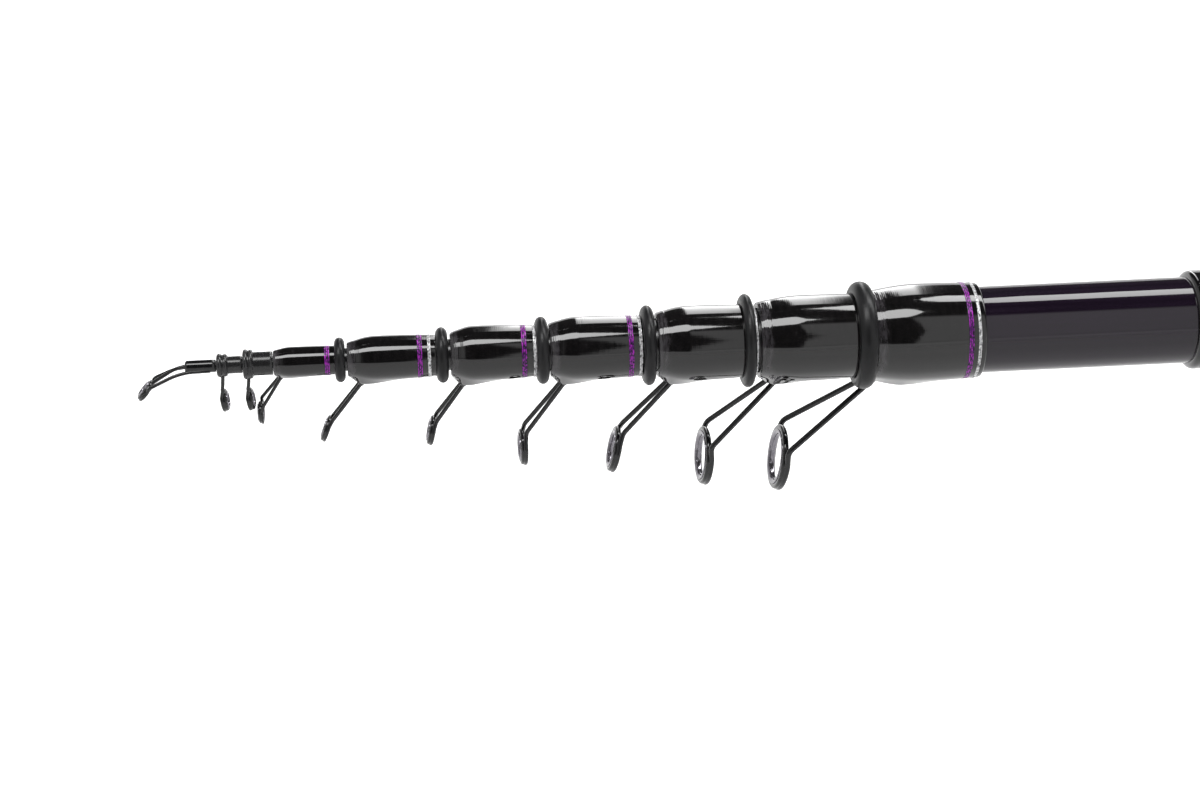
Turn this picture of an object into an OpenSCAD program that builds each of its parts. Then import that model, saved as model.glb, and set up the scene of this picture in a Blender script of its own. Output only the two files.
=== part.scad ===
// Telescopic fishing rod, closed, with its line guides hanging below.
// The rod lies along X with its tip towards -X, and the guides point towards -Z.
// The origin is the centre of the butt's end face, on the rod's axis.
// Sections are numbered from the tip: 1 is the tip and 8 is the butt section.

/* [Sections] */
// Diameter of the tip section at its front end
tip_front_d = 1.6; // [1.2:0.1:2.2]
// Diameter of the tip section at its rear end
tip_rear_d = 3.7; // [3:0.1:4.6]
// Wall of section 2
wall_first = 0.6; // [0.4:0.05:0.9]
// Wall added from each section to the next thicker one
wall_growth = 0.065; // [0:0.005:0.12]
// Growth of section 2 in diameter, from its front end to its rear end
swell_first = 0.4; // [0.2:0.05:0.8]
// Growth in diameter added from each section to the next thicker one
swell_growth = 0.07; // [0:0.01:0.15]
// Growth of the butt section in diameter, from its front end to its rear end
butt_swell = 1.4; // [0.4:0.1:3]
// Radial clearance of a section's rear end in the mouth of the next section
slide_fit = 0.06; // [0.02:0.01:0.1]
// Length of the butt section
butt_len = 600; // [480:10:900]
// Length that stays inside the next section when the rod is drawn out
draw_overlap = 60; // [40:5:100]
// Step between the rear ends of nested sections in the closed rod
rear_step = 5; // [2:1:10]

/* [Wraps] */
// Length of the lacquered wrap of sections 2 to 8
wrap_lens = [14.8, 19.7, 18.7, 20.3, 22, 24.3, 24.3]; // [10:0.1:40]
// Thickness of the lacquered wrap of sections 2 to 8 at its fullest
wrap_thicks = [0.85, 1.5, 1.65, 1.45, 1.5, 1.4, 1.35]; // [0.6:0.05:2]
// Place where the wrap of sections 2 to 8 is fullest, as a share of its length
wrap_fullests = [0.25, 0.32, 0.28, 0.3, 0.32, 0.4, 0.45]; // [0.2:0.01:0.6]
// Width of the purple thread band
purple_w = 1.5; // [0.8:0.1:2]
// Distance from the wrap's rear end to the middle of the purple band
purple_off = 3.3; // [2.8:0.1:4.5]
// Width of the silver braid band
silver_w = 1; // [0.6:0.1:1.4]
// Distance from the wrap's rear end to the middle of the silver band
silver_off = 1.2; // [0.9:0.1:1.6]
// Depth of the thread bands in the wrap
band_depth = 0.3; // [0.2:0.05:0.4]

/* [Bumpers] */
// Width and height of the bumper ring of section 2
bumper_first = 2.4; // [1.6:0.1:3.2]
// Size added from each bumper ring to the next larger one
bumper_growth = 0.28; // [0.1:0.02:0.4]
// How far the bumper of sections 2 to 7 sits over the end of the wrap
bumper_covers = [1.3, 0, 0, 0, 3.2, 3.2]; // [0:0.1:3.4]
// Gap between a bumper and the front of the next section
bumper_gap = 0.1; // [0.05:0.05:0.5]

/* [Guides] */
// Outside diameter of the ring frame on sections 2 to 8
ring_ds = [5, 6, 6.6, 8.2, 10.4, 13.2, 14.8]; // [4.4:0.1:18]
// Distance from the rod's axis to the ring's centre on sections 2 to 8
ring_drops = [12.6, 17.6, 19.5, 25.2, 27, 30, 31.5]; // [11:0.1:40]
// Distance of the ring's centre ahead of the front of sections 2 to 8
ring_leads = [3.6, 5.5, 4.9, 6.4, 9.4, 11.4, 19.2]; // [2:0.1:22]
// Forward lean of the ring on sections 2 to 8, in degrees
ring_leans = [0, 20, 12, 1, 13, 7, 10]; // [0:1:30]
// Distance behind the front of sections 2 to 8 at which the guide's wires bend out of their foot
knees = [1.6, 4.1, 4.1, 4.4, 4.8, 5.4, 2]; // [1.6:0.1:6]
// Turn from the ring's top at which the two wires of sections 2 to 8 bend in to the ring, in degrees
leg_turns = [26, 24, 26, 22, 22, 44, 52]; // [18:1:60]
// Wire of the guide on section 2
wire_first = 0.8; // [0.6:0.05:1]
// Wire added from each guide to the next larger one
wire_growth = 0.09; // [0:0.01:0.12]
// Length of the guide's foot under the wrap
foot_len = 7; // [4:0.5:9]
// Wall of the ring frame on section 2
frame_wall_first = 0.55; // [0.4:0.05:0.7]
// Frame wall added from each guide to the next larger one
frame_wall_growth = 0.09; // [0.04:0.01:0.12]
// Wall of the polished insert ring on section 2
insert_wall_first = 0.65; // [0.5:0.05:0.8]
// Insert wall added from each guide to the next larger one
insert_wall_growth = 0.08; // [0.05:0.01:0.2]
// Thickness of the ring frame on section 2
frame_t_first = 1.1; // [0.9:0.1:1.3]
// Frame thickness added from each guide to the next larger one
frame_t_growth = 0.04; // [0:0.02:0.14]
// How far the insert ring stands out of its frame on each side
insert_proud = 0.2; // [0.1:0.05:0.4]

/* [Tip] */
// Outside diameter of the tip-top's tube
top_tube_d = 2.8; // [2.5:0.1:3.4]
// Length of the tip-top's tube
top_tube_len = 6.6; // [5:0.2:12]
// Outside diameter of the tip-top's ring frame
top_ring_d = 5.2; // [4.4:0.1:6]
// Distance from the rod's axis to the centre of the tip-top's ring
top_ring_drop = 5.4; // [4.6:0.1:6.5]
// Distance of the tip-top's ring centre ahead of its tube
top_ring_lead = 9; // [6.5:0.1:10]
// Forward lean of the tip-top's ring, in degrees
top_ring_lean = 38; // [15:1:45]
// Wire of the tip-top
top_wire_d = 0.8; // [0.6:0.05:1]

/* [Sliding guides] */
// Length of the collar of the front and of the rear sliding guide
collar_lens = [2.4, 2.2]; // [2:0.1:4]
// Diameter of the collar of the front and of the rear sliding guide
collar_ds = [5.2, 6.6]; // [4.8:0.1:8]
// Length of the sleeve of the front and of the rear sliding guide
sleeve_lens = [3.1, 4.2]; // [2.5:0.1:8]
// Diameter of the sleeve of the front and of the rear sliding guide
sleeve_ds = [3.8, 5.2]; // [3.6:0.1:6]
// Ring frame diameter of the sliding guides
slider_ring_d = 5; // [4.4:0.1:6]
// Distance from the rod's axis to the ring centres of the sliding guides
slider_ring_drop = 8.9; // [8.5:0.1:12]
// Gap between the sliding guides, the tip-top and section 2
stack_gap = 0.2; // [0.1:0.05:0.5]
// Clearance of a sliding guide on the tip where it stops on the drawn-out rod
slider_fit = 0.08; // [0.03:0.01:0.1]

/* [Reel seat] */
// Distance from the front of the butt section to the front whipping
seat_start = 71.6; // [60:1:150]
// Length of each whipping
whip_len = 17; // [12:1:25]
// Thickness of each whipping
whip_t = 1.4; // [1.2:0.05:1.8]
// Length of the seat between its whippings
seat_len = 92; // [85:1:120]
// Width of the seat
seat_w = 14; // [13:0.5:16]
// Distance from the blank to the face that the reel's foot lies on
seat_drop = 4.2; // [3.8:0.1:6]
// Thickness of the feet under the whippings
seat_foot_t = 0.8; // [0.6:0.05:1]
// Height of the pockets for the reel's foot
pocket_h = 5.2; // [4.4:0.1:6.5]
// Thickness of the hoods
hood_t = 1.3; // [1:0.1:1.6]
// Length of the fixed hood
fixed_hood_len = 16; // [12:1:20]
// Length of the sliding hood
slide_hood_len = 16; // [12:1:20]
// Distance from the fixed hood to the sliding hood
hood_spread = 38; // [34:1:42]
// Sideways and upward clearance of the sliding hood on its rails
hood_fit = 0.2; // [0.1:0.05:0.3]
// Length of the lock lever from its pin to its end
lever_len = 22; // [16:1:28]
// Thickness of the lock lever
lever_t = 1.6; // [1.2:0.1:2]
// Diameter of the lever's pin
lever_pin_d = 1.8; // [1.4:0.1:2.2]
// Radial clearance of the lever on its pin
lever_fit = 0.05; // [0.02:0.01:0.1]

/* [Butt] */
// Diameter of the grip
grip_d = 22.4; // [22:0.1:26]
// Length of the grip
grip_len = 290; // [200:5:320]
// Diameter of the butt cap
cap_d = 22; // [21:0.1:22]
// Length of the butt cap behind the blank
cap_head = 14; // [8:0.5:20]
// Length of the cap's spigot in the butt
spigot_len = 16; // [12:1:25]
// Bore of the insert that takes the cap's spigot
insert_bore_d = 14.5; // [13:0.5:16]
// Length of the insert
insert_len = 20; // [16:1:30]
// Radial clearance of the cap's spigot in the insert
spigot_fit = 0.08; // [0.02:0.01:0.1]
// Diameter of the rubber pad
pad_d = 18; // [14:0.5:19]
// Thickness of the rubber pad
pad_t = 3; // [2:0.5:5]
// How far the pad stands out of the cap
pad_proud = 0.4; // [0.2:0.1:1]

/* [Hidden] */
$fn = 64;
glue = 0.02;
butt = 8;
wrap_steps = 14;
wrap_front_share = 0.15;
wrap_rear_share = 0.7;
wrap_end_round = 0.5;
corner_steps = 4;
bead = 1.25;
bend_inset = 0.33;
knee_spread = 0.66;
knee_sink = 0.08;
foot_share = 0.6;
leg_run_turn = 27;
leg_stand_off = 0.9;
land_share = 0.4;
bulge_share = 0.6;
ring_edge_share = 0.3;
foot_edge = 0.3;
bumper_round = 0.45;
collar_round = 0.6;
no_inset = [0, 0, 0];
foot_way = [1, 0, 0];
foot_relief = 0.4;
slot_lead = 1;
cut = 1;
purple = "#8e2aa6";
lacquer = "#141416";
gunmetal = "#2b2c30";
sections = [2:butt];
inner_sections = [2:butt - 1];
sliders = [0, 1];

// Sizes of the nested blanks, each worked out from the next thinner one
function wall(n) = wall_first + (n - 2) * wall_growth;
function swell(n) = n == butt ? butt_swell : swell_first + (n - 2) * swell_growth;
function mouth_d(n) = rear_d(n - 1) + 2 * slide_fit;
function front_d(n) = n == 1 ? tip_front_d : mouth_d(n) + 2 * wall(n);
function rear_d(n) = n == 1 ? tip_rear_d : front_d(n) + swell(n);

// Places of the blanks along the rod
function wrap_len(n) = wrap_lens[n - 2];
function wrap_thick(n) = wrap_thicks[n - 2];
function bumper_size(n) = bumper_first + (n - 2) * bumper_growth;
function bumper_cover(n) = bumper_covers[n - 2];
function pitch(n) = wrap_len(n) + bumper_size(n) - bumper_cover(n) + bumper_gap;
function front_x(n) =
    n == butt ? -butt_len - cap_head : n > 1 ? front_x(n + 1) - pitch(n) : top_x + top_nose;
function rear_x(n) =
    n == butt ? -cap_head
    : n == butt - 1 ? rear_x(butt) - spigot_len - rear_step
    : rear_x(n + 1) - rear_step;
function section_len(n) = rear_x(n) - front_x(n);
function blank_r(n, x) = (front_d(n) + (rear_d(n) - front_d(n)) * (x - front_x(n)) / section_len(n)) / 2;

// Travel of a section from the closed rod to the drawn-out rod
function travel(n) = section_len(n) - draw_overlap - (front_x(n + 1) - front_x(n));

// Places of the sliding guides and the tip-top, stacked ahead of section 2
function slider_len(k) = collar_lens[k] + sleeve_lens[k];
slider_x = [
    front_x(2) - 2 * stack_gap - slider_len(1) - slider_len(0),
    front_x(2) - stack_gap - slider_len(1)
];
top_nose = 1.5;
top_x = slider_x[0] - stack_gap - top_tube_len;

// A sliding guide's bore clears the tip where the guide stops on the drawn-out rod
function slider_stop_x(k) = slider_x[k] + slider_len(k) + travel(1) * (k + 1) / 3;
function slider_bore_r(k) = blank_r(1, slider_stop_x(k)) + slider_fit;

// Sizes of the guides
function step(first, growth, n) = first + (n - 2) * growth;
function wire_d(n) = step(wire_first, wire_growth, n);
function knee(n) = knees[n - 2];
function frame_t(n) = step(frame_t_first, frame_t_growth, n);
function frame_wall(n) = step(frame_wall_first, frame_wall_growth, n);
function insert_wall(n) = step(insert_wall_first, insert_wall_growth, n);
function ring_d(n) = ring_ds[n - 2];
function ring_at(n) = [front_x(n) - ring_leads[n - 2], 0, -ring_drops[n - 2]];
function ring_lean(n) = ring_leans[n - 2];
function leg_turn(n) = leg_turns[n - 2];
function foot_top(n) = -blank_r(n, front_x(n) + knee(n) + foot_len) - glue;

// A direction of length 1
function unit(v) = v / norm(v);

// A point of a ring's plane, at a radius and a turn from the ring's top, in the rod's frame
function ring_point(centre, lean, r, turn) =
    centre + [r * cos(turn) * sin(lean), r * sin(turn), r * cos(turn) * cos(lean)];

// Thickness of a wrap over its length, as a share of its fullest, with a smooth rise and fall
function wrap_share(u, full) =
    u < full
        ? wrap_front_share + (1 - wrap_front_share) * sin(90 * u / full)
        : 1 - (1 - wrap_rear_share) * pow((u - full) / (1 - full), 2);
function wrap_r(n, s) =
    blank_r(n, front_x(n) + s) + wrap_thick(n) * wrap_share(s / wrap_len(n), wrap_fullests[n - 2]);

// Points of a quarter round from one angle to another
function arc(centre, r, from, to) =
    [for (i = [0:corner_steps]) let (a = from + (to - from) * i / corner_steps)
        centre + r * [cos(a), sin(a)]];

// A ring's section, as radius and place along the axis, with its two outer edges rounded
function outer_round(r_in, r_out, x0, x1, round) = concat(
    [[r_in, x1], [r_in, x0]],
    arc([r_out - round, x0 + round], round, -90, 0),
    arc([r_out - round, x1 - round], round, 0, 90)
);

// A solid turned about the rod's axis from points of radius and place
module spin(points) rotate([0, 90, 0]) rotate_extrude() polygon(points);

// A flat section of the seat, drawn across the rod and drawn out along it
module along(x0, x1) translate([x0, 0, 0]) rotate([90, 0, 90]) linear_extrude(x1 - x0) children();

// A bar from one point to another
module bar(a, b, d) {
    v = b - a;
    translate(a) rotate([0, acos(v.z / norm(v)), atan2(v.y, v.x)]) cylinder(d = d, h = norm(v));
}

// A ball at a bend between two runs, turned so that its poles and its seam lie clear of both
module bend_ball(at, back, ahead, d) {
    out = -unit(unit(back) + unit(ahead));
    across = unit(cross(back, ahead));
    side = cross(across, out);
    multmatrix([
        [out.x, side.x, across.x, at.x],
        [out.y, side.y, across.y, at.y],
        [out.z, side.z, across.z, at.z]
    ]) sphere(d = d);
}

// A bent wire through its points, with a ball at each bend from the first one given
module wire(points, d, first_ball = 1) {
    last = len(points) - 1;
    for (i = [0:last - 1]) {
        run = points[i + 1] - points[i];
        inset = bend_inset * d * run / norm(run);
        from = points[i] + (i >= first_ball ? inset : no_inset);
        to = points[i + 1] - (i < last - 1 ? inset : no_inset);
        bar(from, to, d);
    }
    for (i = [first_ball:last - 1]) {
        back = i > 0 ? points[i - 1] - points[i] : foot_way;
        bend_ball(points[i], back, points[i + 1] - points[i], d * bead);
    }
}

// The space of a blank, for what is seated on it
module blank_core(n) {
    past = 5;
    x0 = front_x(n) - past;
    x1 = rear_x(n) + past;
    spin([[0, x0], [blank_r(n, x0) + glue, x0], [blank_r(n, x1) + glue, x1], [0, x1]]);
}

module tip_blank() {
    color("#2a282c")
        spin([[0, front_x(1)], [front_d(1) / 2, front_x(1)], [rear_d(1) / 2, rear_x(1)], [0, rear_x(1)]]);
}

module blank(n) {
    x0 = front_x(n);
    x1 = rear_x(n);
    r0 = front_d(n) / 2;
    r1 = rear_d(n) / 2;
    color(n == butt ? "#3f3c42" : "#26252a")
        spin([[r0 - wall(n), x0], [r0, x0], [r1, x1], [r1 - wall(n), x1]]);
}

// Outline of a wrap, from its front end to its rounded rear end
function wrap_points(n) =
    let (x0 = front_x(n), body = wrap_len(n) - wrap_end_round, t = wrap_r(n, body) - blank_r(n, x0))
    concat(
        [[0, x0 + wrap_len(n)], [0, x0]],
        [for (i = [0:wrap_steps]) [wrap_r(n, body * i / wrap_steps), x0 + body * i / wrap_steps]],
        [for (i = [1:corner_steps]) let (a = 90 * i / corner_steps)
            [blank_r(n, x0) + t * (cos(a) + 1) / 2, x0 + body + wrap_end_round * sin(a)]]
    );

// The groove and the ring of a thread band, whose middle lies off from the wrap's rear end
module band_ring(n, off, w, proud, side) {
    s0 = wrap_len(n) - off - w / 2 - side;
    s1 = s0 + w + 2 * side;
    r_in = wrap_r(n, s1) - band_depth - side;
    x0 = front_x(n);
    spin([
        [r_in, x0 + s0],
        [wrap_r(n, s0) + proud, x0 + s0],
        [wrap_r(n, s1) + proud, x0 + s1],
        [r_in, x0 + s1]
    ]);
}

module wrap(n) {
    color(lacquer) difference() {
        spin(wrap_points(n));
        blank_core(n);
        foot_room(n);
        band_ring(n, purple_off, purple_w, cut, glue);
        band_ring(n, silver_off, silver_w, cut, glue);
    }
}

module bands(n) {
    color(purple) {
        band_ring(n, purple_off, purple_w, glue, 0);
        band_ring(n, silver_off, silver_w, glue, 0);
    }
}

module bumper(n) {
    size = bumper_size(n);
    x0 = front_x(n) + wrap_len(n) - bumper_cover(n);
    seat_s = wrap_len(n) - bumper_cover(n);
    under = bumper_cover(n) > 0 ? wrap_r(n, seat_s) : blank_r(n, x0 + size);
    outside = front_d(n) / 2 + size;
    color("#222224")
        spin(outer_round(under + 2 * glue, outside, x0 + glue, x0 + size, size * bumper_round));
}

// Two wires that run down beside a ring from their roots, and end in its frame
module ring_wires(roots, centre, lean, r, turn, d, wall, extra, first_ball = 1) {
    for (side = [-1, 1])
        wire(concat(
            [for (p = roots) [p.x, side * p.y, p.z]],
            [ring_point(centre, lean, r + d * leg_stand_off, side * turn)],
            [ring_point(centre, lean, r - wall, side * (turn + leg_run_turn))]
        ), d + extra, first_ball);
}

// Two wire legs from a flat foot under the wrap to the ring
module guide_legs(n) {
    d = wire_d(n);
    x0 = front_x(n) + knee(n);
    knee_at = [x0, d * knee_spread, foot_top(n) - d * (bead / 2 + knee_sink)];
    half = d * (knee_spread + foot_edge);
    ring_r = ring_d(n) / 2;
    ring_wires([knee_at], ring_at(n), ring_lean(n), ring_r, leg_turn(n), d, frame_wall(n), 0, 0);
    translate([x0, -half, foot_top(n) - foot_share * d]) cube([foot_len, 2 * half, foot_share * d]);
}

// The room in a wrap for a guide's foot, with a slot where its two wires come out
module foot_room(n) {
    d = wire_d(n);
    x0 = front_x(n) + knee(n);
    half = d * (knee_spread + foot_edge) + glue;
    slot_half = d * (knee_spread + bead / 2) + glue;
    slot_front = d * (bead / 2 + slot_lead);
    slot_rear = d * bead / 2 + glue;
    slot_deep = 2 * d + wrap_thick(n);
    translate([x0, -half, foot_top(n) - foot_share * d - glue])
        cube([foot_len + glue, 2 * half, foot_share * d + foot_relief]);
    translate([x0 - slot_front, -slot_half, foot_top(n) - slot_deep])
        cube([slot_front + slot_rear, 2 * slot_half, slot_deep + foot_relief]);
}

// A ring frame before its bore is cut, on its own axis at its place
module ring_disc(centre, lean, d, t) {
    translate(centre) rotate([0, lean, 0])
        spin(outer_round(0, d / 2, -t / 2, t / 2, ring_edge_share * t));
}

// The bore of a ring frame
module ring_bore(centre, lean, r) {
    long = 8;
    translate(centre) rotate([0, lean, 0]) rotate([0, 90, 0])
        cylinder(r = r, h = long, center = true);
}

// A polished insert with a straight land in its bore and rounded lips
module ring_insert(centre, lean, d, wall, insert, t) {
    r_out = d / 2 - wall - glue;
    r_in = r_out - insert;
    half = t / 2 + insert_proud;
    round = half * (1 - land_share);
    bulge = min(round, insert * bulge_share);
    translate(centre) rotate([0, lean, 0])
        spin(concat(
            [[r_out, -t / 2], [r_out, t / 2]],
            [for (i = [0:corner_steps]) let (a = 90 - 90 * i / corner_steps)
                [r_in + bulge * (1 - cos(a)), half - round + round * sin(a)]],
            [for (i = [0:corner_steps]) let (a = -90 * i / corner_steps)
                [r_in + bulge * (1 - cos(a)), -half + round + round * sin(a)]]
        ));
}

module guide_frame(n) {
    color(gunmetal) difference() {
        union() {
            ring_disc(ring_at(n), ring_lean(n), ring_d(n), frame_t(n));
            guide_legs(n);
        }
        ring_bore(ring_at(n), ring_lean(n), ring_d(n) / 2 - frame_wall(n));
    }
}

module guide_ring(n) {
    color("#3a3a40")
        ring_insert(ring_at(n), ring_lean(n), ring_d(n), frame_wall(n), insert_wall(n), frame_t(n));
}

// Tip-top: a tube on the tip with a solid nose, two side wires, a brace set against the nose
// and the ring
top_ring_at = [top_x - top_ring_lead, 0, -top_ring_drop];
top_turn = 42;
brace_gap = 0.25;
top_root_r = (top_tube_d - top_wire_d) / 3;
top_root_share = 0.6;
top_root_rise = 0.2;
top_bend_spread = 1.8;
top_bend_drop = 0.7;

module top_wires() {
    r = top_ring_d / 2;
    wall = frame_wall(2);
    root = [top_x + top_nose * top_root_share, top_root_r, top_root_r * top_root_rise];
    bend = [top_x - top_nose, top_root_r * top_bend_spread, -top_root_r * top_bend_drop];
    ring_wires([root, bend], top_ring_at, top_ring_lean, r, top_turn, top_wire_d, wall, 0);
    brace_end = ring_point(top_ring_at, top_ring_lean, r - wall / 2, 0);
    bar([top_x - brace_gap, 0, -top_root_r], brace_end, top_wire_d);
}

module tip_top_frame() {
    color(gunmetal) difference() {
        union() {
            ring_disc(top_ring_at, top_ring_lean, top_ring_d, frame_t(2));
            translate([top_x, 0, 0]) rotate([0, 90, 0]) cylinder(d = top_tube_d, h = top_tube_len);
            top_wires();
        }
        spin([[0, front_x(1) - glue], [blank_r(1, front_x(1)) + glue, front_x(1) - glue],
            [blank_r(1, slider_x[0]) + glue, slider_x[0]], [0, slider_x[0]]]);
        ring_bore(top_ring_at, top_ring_lean, top_ring_d / 2 - frame_wall(2));
    }
}

module tip_top_ring() {
    color("#3a3a40")
        ring_insert(top_ring_at, top_ring_lean, top_ring_d, frame_wall(2), insert_wall(2), frame_t(2));
}

// Sliding guides on the tip: a sleeve with a collar that holds the ring's two short legs
function slider_ring_at(k) = [slider_x[k] + collar_lens[k] / 2, 0, -slider_ring_drop];

module slider_legs(k, extra) {
    at = slider_ring_at(k);
    root = [at.x, wire_first * knee_spread, -collar_ds[k] / 2 + wire_first];
    ring_wires([root], at, 0, slider_ring_d / 2, leg_turn(2), wire_first, frame_wall(2), extra);
}

module slider_sleeve(k) {
    x0 = slider_x[k];
    x1 = x0 + collar_lens[k];
    x2 = x1 + sleeve_lens[k];
    r0 = slider_bore_r(k);
    r1 = sleeve_ds[k] / 2;
    edge_r = collar_ds[k] / 2 - collar_round;
    color("#242428") difference() {
        spin(concat(
            [[r0, x2], [r0, x0]],
            arc([edge_r, x0 + collar_round], collar_round, -90, 0),
            arc([edge_r, x1 - collar_round], collar_round, 0, 90),
            [[r1, x1], [r1, x2]]
        ));
        slider_legs(k, 2 * glue);
    }
}

module slider_frame(k) {
    color(gunmetal) difference() {
        union() {
            ring_disc(slider_ring_at(k), 0, slider_ring_d, frame_t(2));
            slider_legs(k, 0);
        }
        ring_bore(slider_ring_at(k), 0, slider_ring_d / 2 - frame_wall(2));
    }
}

module slider_ring(k) {
    color("#3a3a40")
        ring_insert(slider_ring_at(k), 0, slider_ring_d, frame_wall(2), insert_wall(2), frame_t(2));
}

// Places and sizes of the reel seat
whip_x = front_x(butt) + seat_start;
seat_x0 = whip_x + whip_len;
seat_x1 = seat_x0 + seat_len;
seat_r = blank_r(butt, seat_x1);
seat_ramp = 8;
rail_top = 0.9;
rail_bottom = 2;
rail_depth = 1;
seat_z = -seat_r - seat_drop;
fixed_x = seat_x0 + seat_ramp;
slide_x = fixed_x + fixed_hood_len + hood_spread;
pin_behind = 2.8;
pin_below = 2.6;
pin_at = [slide_x + slide_hood_len + pin_behind, 0, seat_z - pin_below];
ear_below = 2.5;
ear_h = 4.4;
ear_past = 2.2;
lever_eye_r = 2;
lever_end_share = 1.4;
hood_round = 3;
seat_foot_share = 0.32;

// Section of the seat with a groove along each side, widened for what runs on it
module seat_section(extra) {
    half = seat_w / 2 + extra;
    neck = half - rail_depth;
    translate([-half, seat_z - extra]) square([2 * half, seat_drop - rail_bottom + 2 * extra]);
    translate([-neck, seat_z]) square([2 * neck, seat_drop]);
    translate([-half, -seat_r - rail_top - extra]) square([2 * half, seat_r + rail_top]);
}

// Section of a hood's space for the reel's foot, or of its outside
module pocket_section(half, depth, round) {
    z0 = seat_z - depth;
    for (side = [-1, 1]) translate([side * (half - round), z0 + round]) circle(round);
    translate([-half + round, z0]) square([2 * (half - round), round]);
    translate([-half, z0 + round]) square([2 * half, seat_z - z0 - round]);
}

module hood_outside(extra) {
    half = seat_w / 2 + hood_t;
    pocket_section(half, pocket_h + hood_t, hood_round + hood_t);
    translate([-half, seat_z]) square([2 * half, seat_drop - rail_top - extra]);
}

// A foot of the seat under one whipping, with room for a fit round it
module seat_foot(x0, x1, extra) {
    half = seat_w * seat_foot_share + extra;
    intersection() {
        spin([[0, x0], [blank_r(butt, x0) + seat_foot_t + extra, x0],
            [blank_r(butt, x1) + seat_foot_t + extra, x1], [0, x1]]);
        translate([x0, -half, -2 * seat_r]) cube([x1 - x0, 2 * half, 2 * seat_r]);
    }
}

module seat_feet(extra) {
    tuck = 2;
    seat_foot(whip_x + tuck - extra, seat_x0 + seat_ramp, extra);
    seat_foot(seat_x1 - seat_ramp, seat_x1 + whip_len - tuck + extra, extra);
}

// The ends of the seat have no groove, so that the sliding hood stops there
module seat_end(x0, x1) {
    along(x0, x1) translate([-seat_w / 2, seat_z]) square([seat_w, -seat_z]);
}

module seat_base() {
    end_z = -seat_r - seat_foot_t;
    rail_x1 = seat_x1 - seat_ramp;
    color("#1d1d20") difference() {
        union() {
            intersection() {
                union() {
                    seat_end(seat_x0 + glue, fixed_x);
                    along(fixed_x, rail_x1) seat_section(0);
                    seat_end(rail_x1, seat_x1 - glue);
                }
                translate([0, seat_w, 0]) rotate([90, 0, 0]) linear_extrude(2 * seat_w)
                    polygon([[seat_x0, 0], [seat_x0, end_z], [fixed_x, seat_z], [rail_x1, seat_z],
                        [seat_x1, end_z], [seat_x1, 0]]);
            }
            seat_feet(0);
        }
        blank_core(butt);
    }
}

module fixed_hood() {
    x1 = fixed_x + fixed_hood_len;
    color("#55565b") difference() {
        along(fixed_x + glue, x1) hood_outside(glue);
        along(fixed_x - cut, x1 + cut) seat_section(glue);
        along(fixed_x + hood_t, x1 + cut) pocket_section(seat_w / 2, pocket_h, hood_round);
    }
}

module slide_hood() {
    ear_t = hood_t - hood_fit;
    ear_y = (seat_w + hood_t + hood_fit) / 2;
    x1 = slide_x + slide_hood_len;
    ear_len = pin_at.x + ear_past - x1 + cut;
    color("#55565b") difference() {
        union() {
            difference() {
                along(slide_x, x1) hood_outside(hood_fit);
                along(slide_x - cut, x1 + cut) seat_section(hood_fit);
                along(slide_x - cut, x1 + cut) pocket_section(seat_w / 2, pocket_h, hood_round);
            }
            for (side = [-1, 1])
                translate([x1 - cut, side * ear_y - ear_t / 2, pin_at.z - ear_below])
                    cube([ear_len, ear_t, ear_h]);
        }
        pin_space(lever_pin_d / 2 + glue);
    }
}

module pin_space(r) {
    translate(pin_at) rotate([90, 0, 0]) cylinder(r = r, h = 3 * seat_w, center = true);
}

module lever_pin() {
    color("#8b8d92")
        translate(pin_at) rotate([90, 0, 0])
            cylinder(d = lever_pin_d, h = seat_w + 2 * hood_t, center = true);
}

module lock_lever() {
    w = seat_w - 2 * hood_fit;
    end_x = pin_at.x + lever_len;
    color("#1d1d20") difference() {
        union() {
            translate(pin_at) rotate([90, 0, 0]) cylinder(r = lever_eye_r, h = w, center = true);
            translate([pin_at.x, -w / 2, pin_at.z - lever_eye_r]) cube([lever_len, w, lever_t]);
            translate([end_x, 0, pin_at.z - lever_eye_r + lever_t / 2]) rotate([90, 0, 0])
                cylinder(d = lever_t * lever_end_share, h = w, center = true);
        }
        pin_space(lever_pin_d / 2 + lever_fit);
    }
}

// A whipping over one foot of the seat
module whipping(x0) {
    x1 = x0 + whip_len;
    r = blank_r(butt, x1) + whip_t;
    spin(concat(
        [[0, x1], [0, x0]],
        arc([r - whip_t, x0 + whip_t], whip_t, -90, 0),
        arc([r - whip_t, x1 - whip_t], whip_t, 0, 90)
    ));
}

module seat_whippings() {
    color(lacquer) difference() {
        union() {
            whipping(whip_x);
            whipping(seat_x1);
        }
        blank_core(butt);
        seat_feet(glue);
    }
}

module grip() {
    x1 = rear_x(butt);
    edge = 0.5;
    color("#1b1b1d") difference() {
        spin(outer_round(0, grip_d / 2, x1 - grip_len, x1 - glue, edge));
        blank_core(butt);
    }
}

module butt_insert() {
    x1 = rear_x(butt) - glue;
    x0 = x1 - insert_len;
    inset = wall(butt) + glue;
    color("#9a9ca0")
        spin([[insert_bore_d / 2, x0], [blank_r(butt, x0) - inset, x0],
            [blank_r(butt, x1) - inset, x1], [insert_bore_d / 2, x1]]);
}

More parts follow.
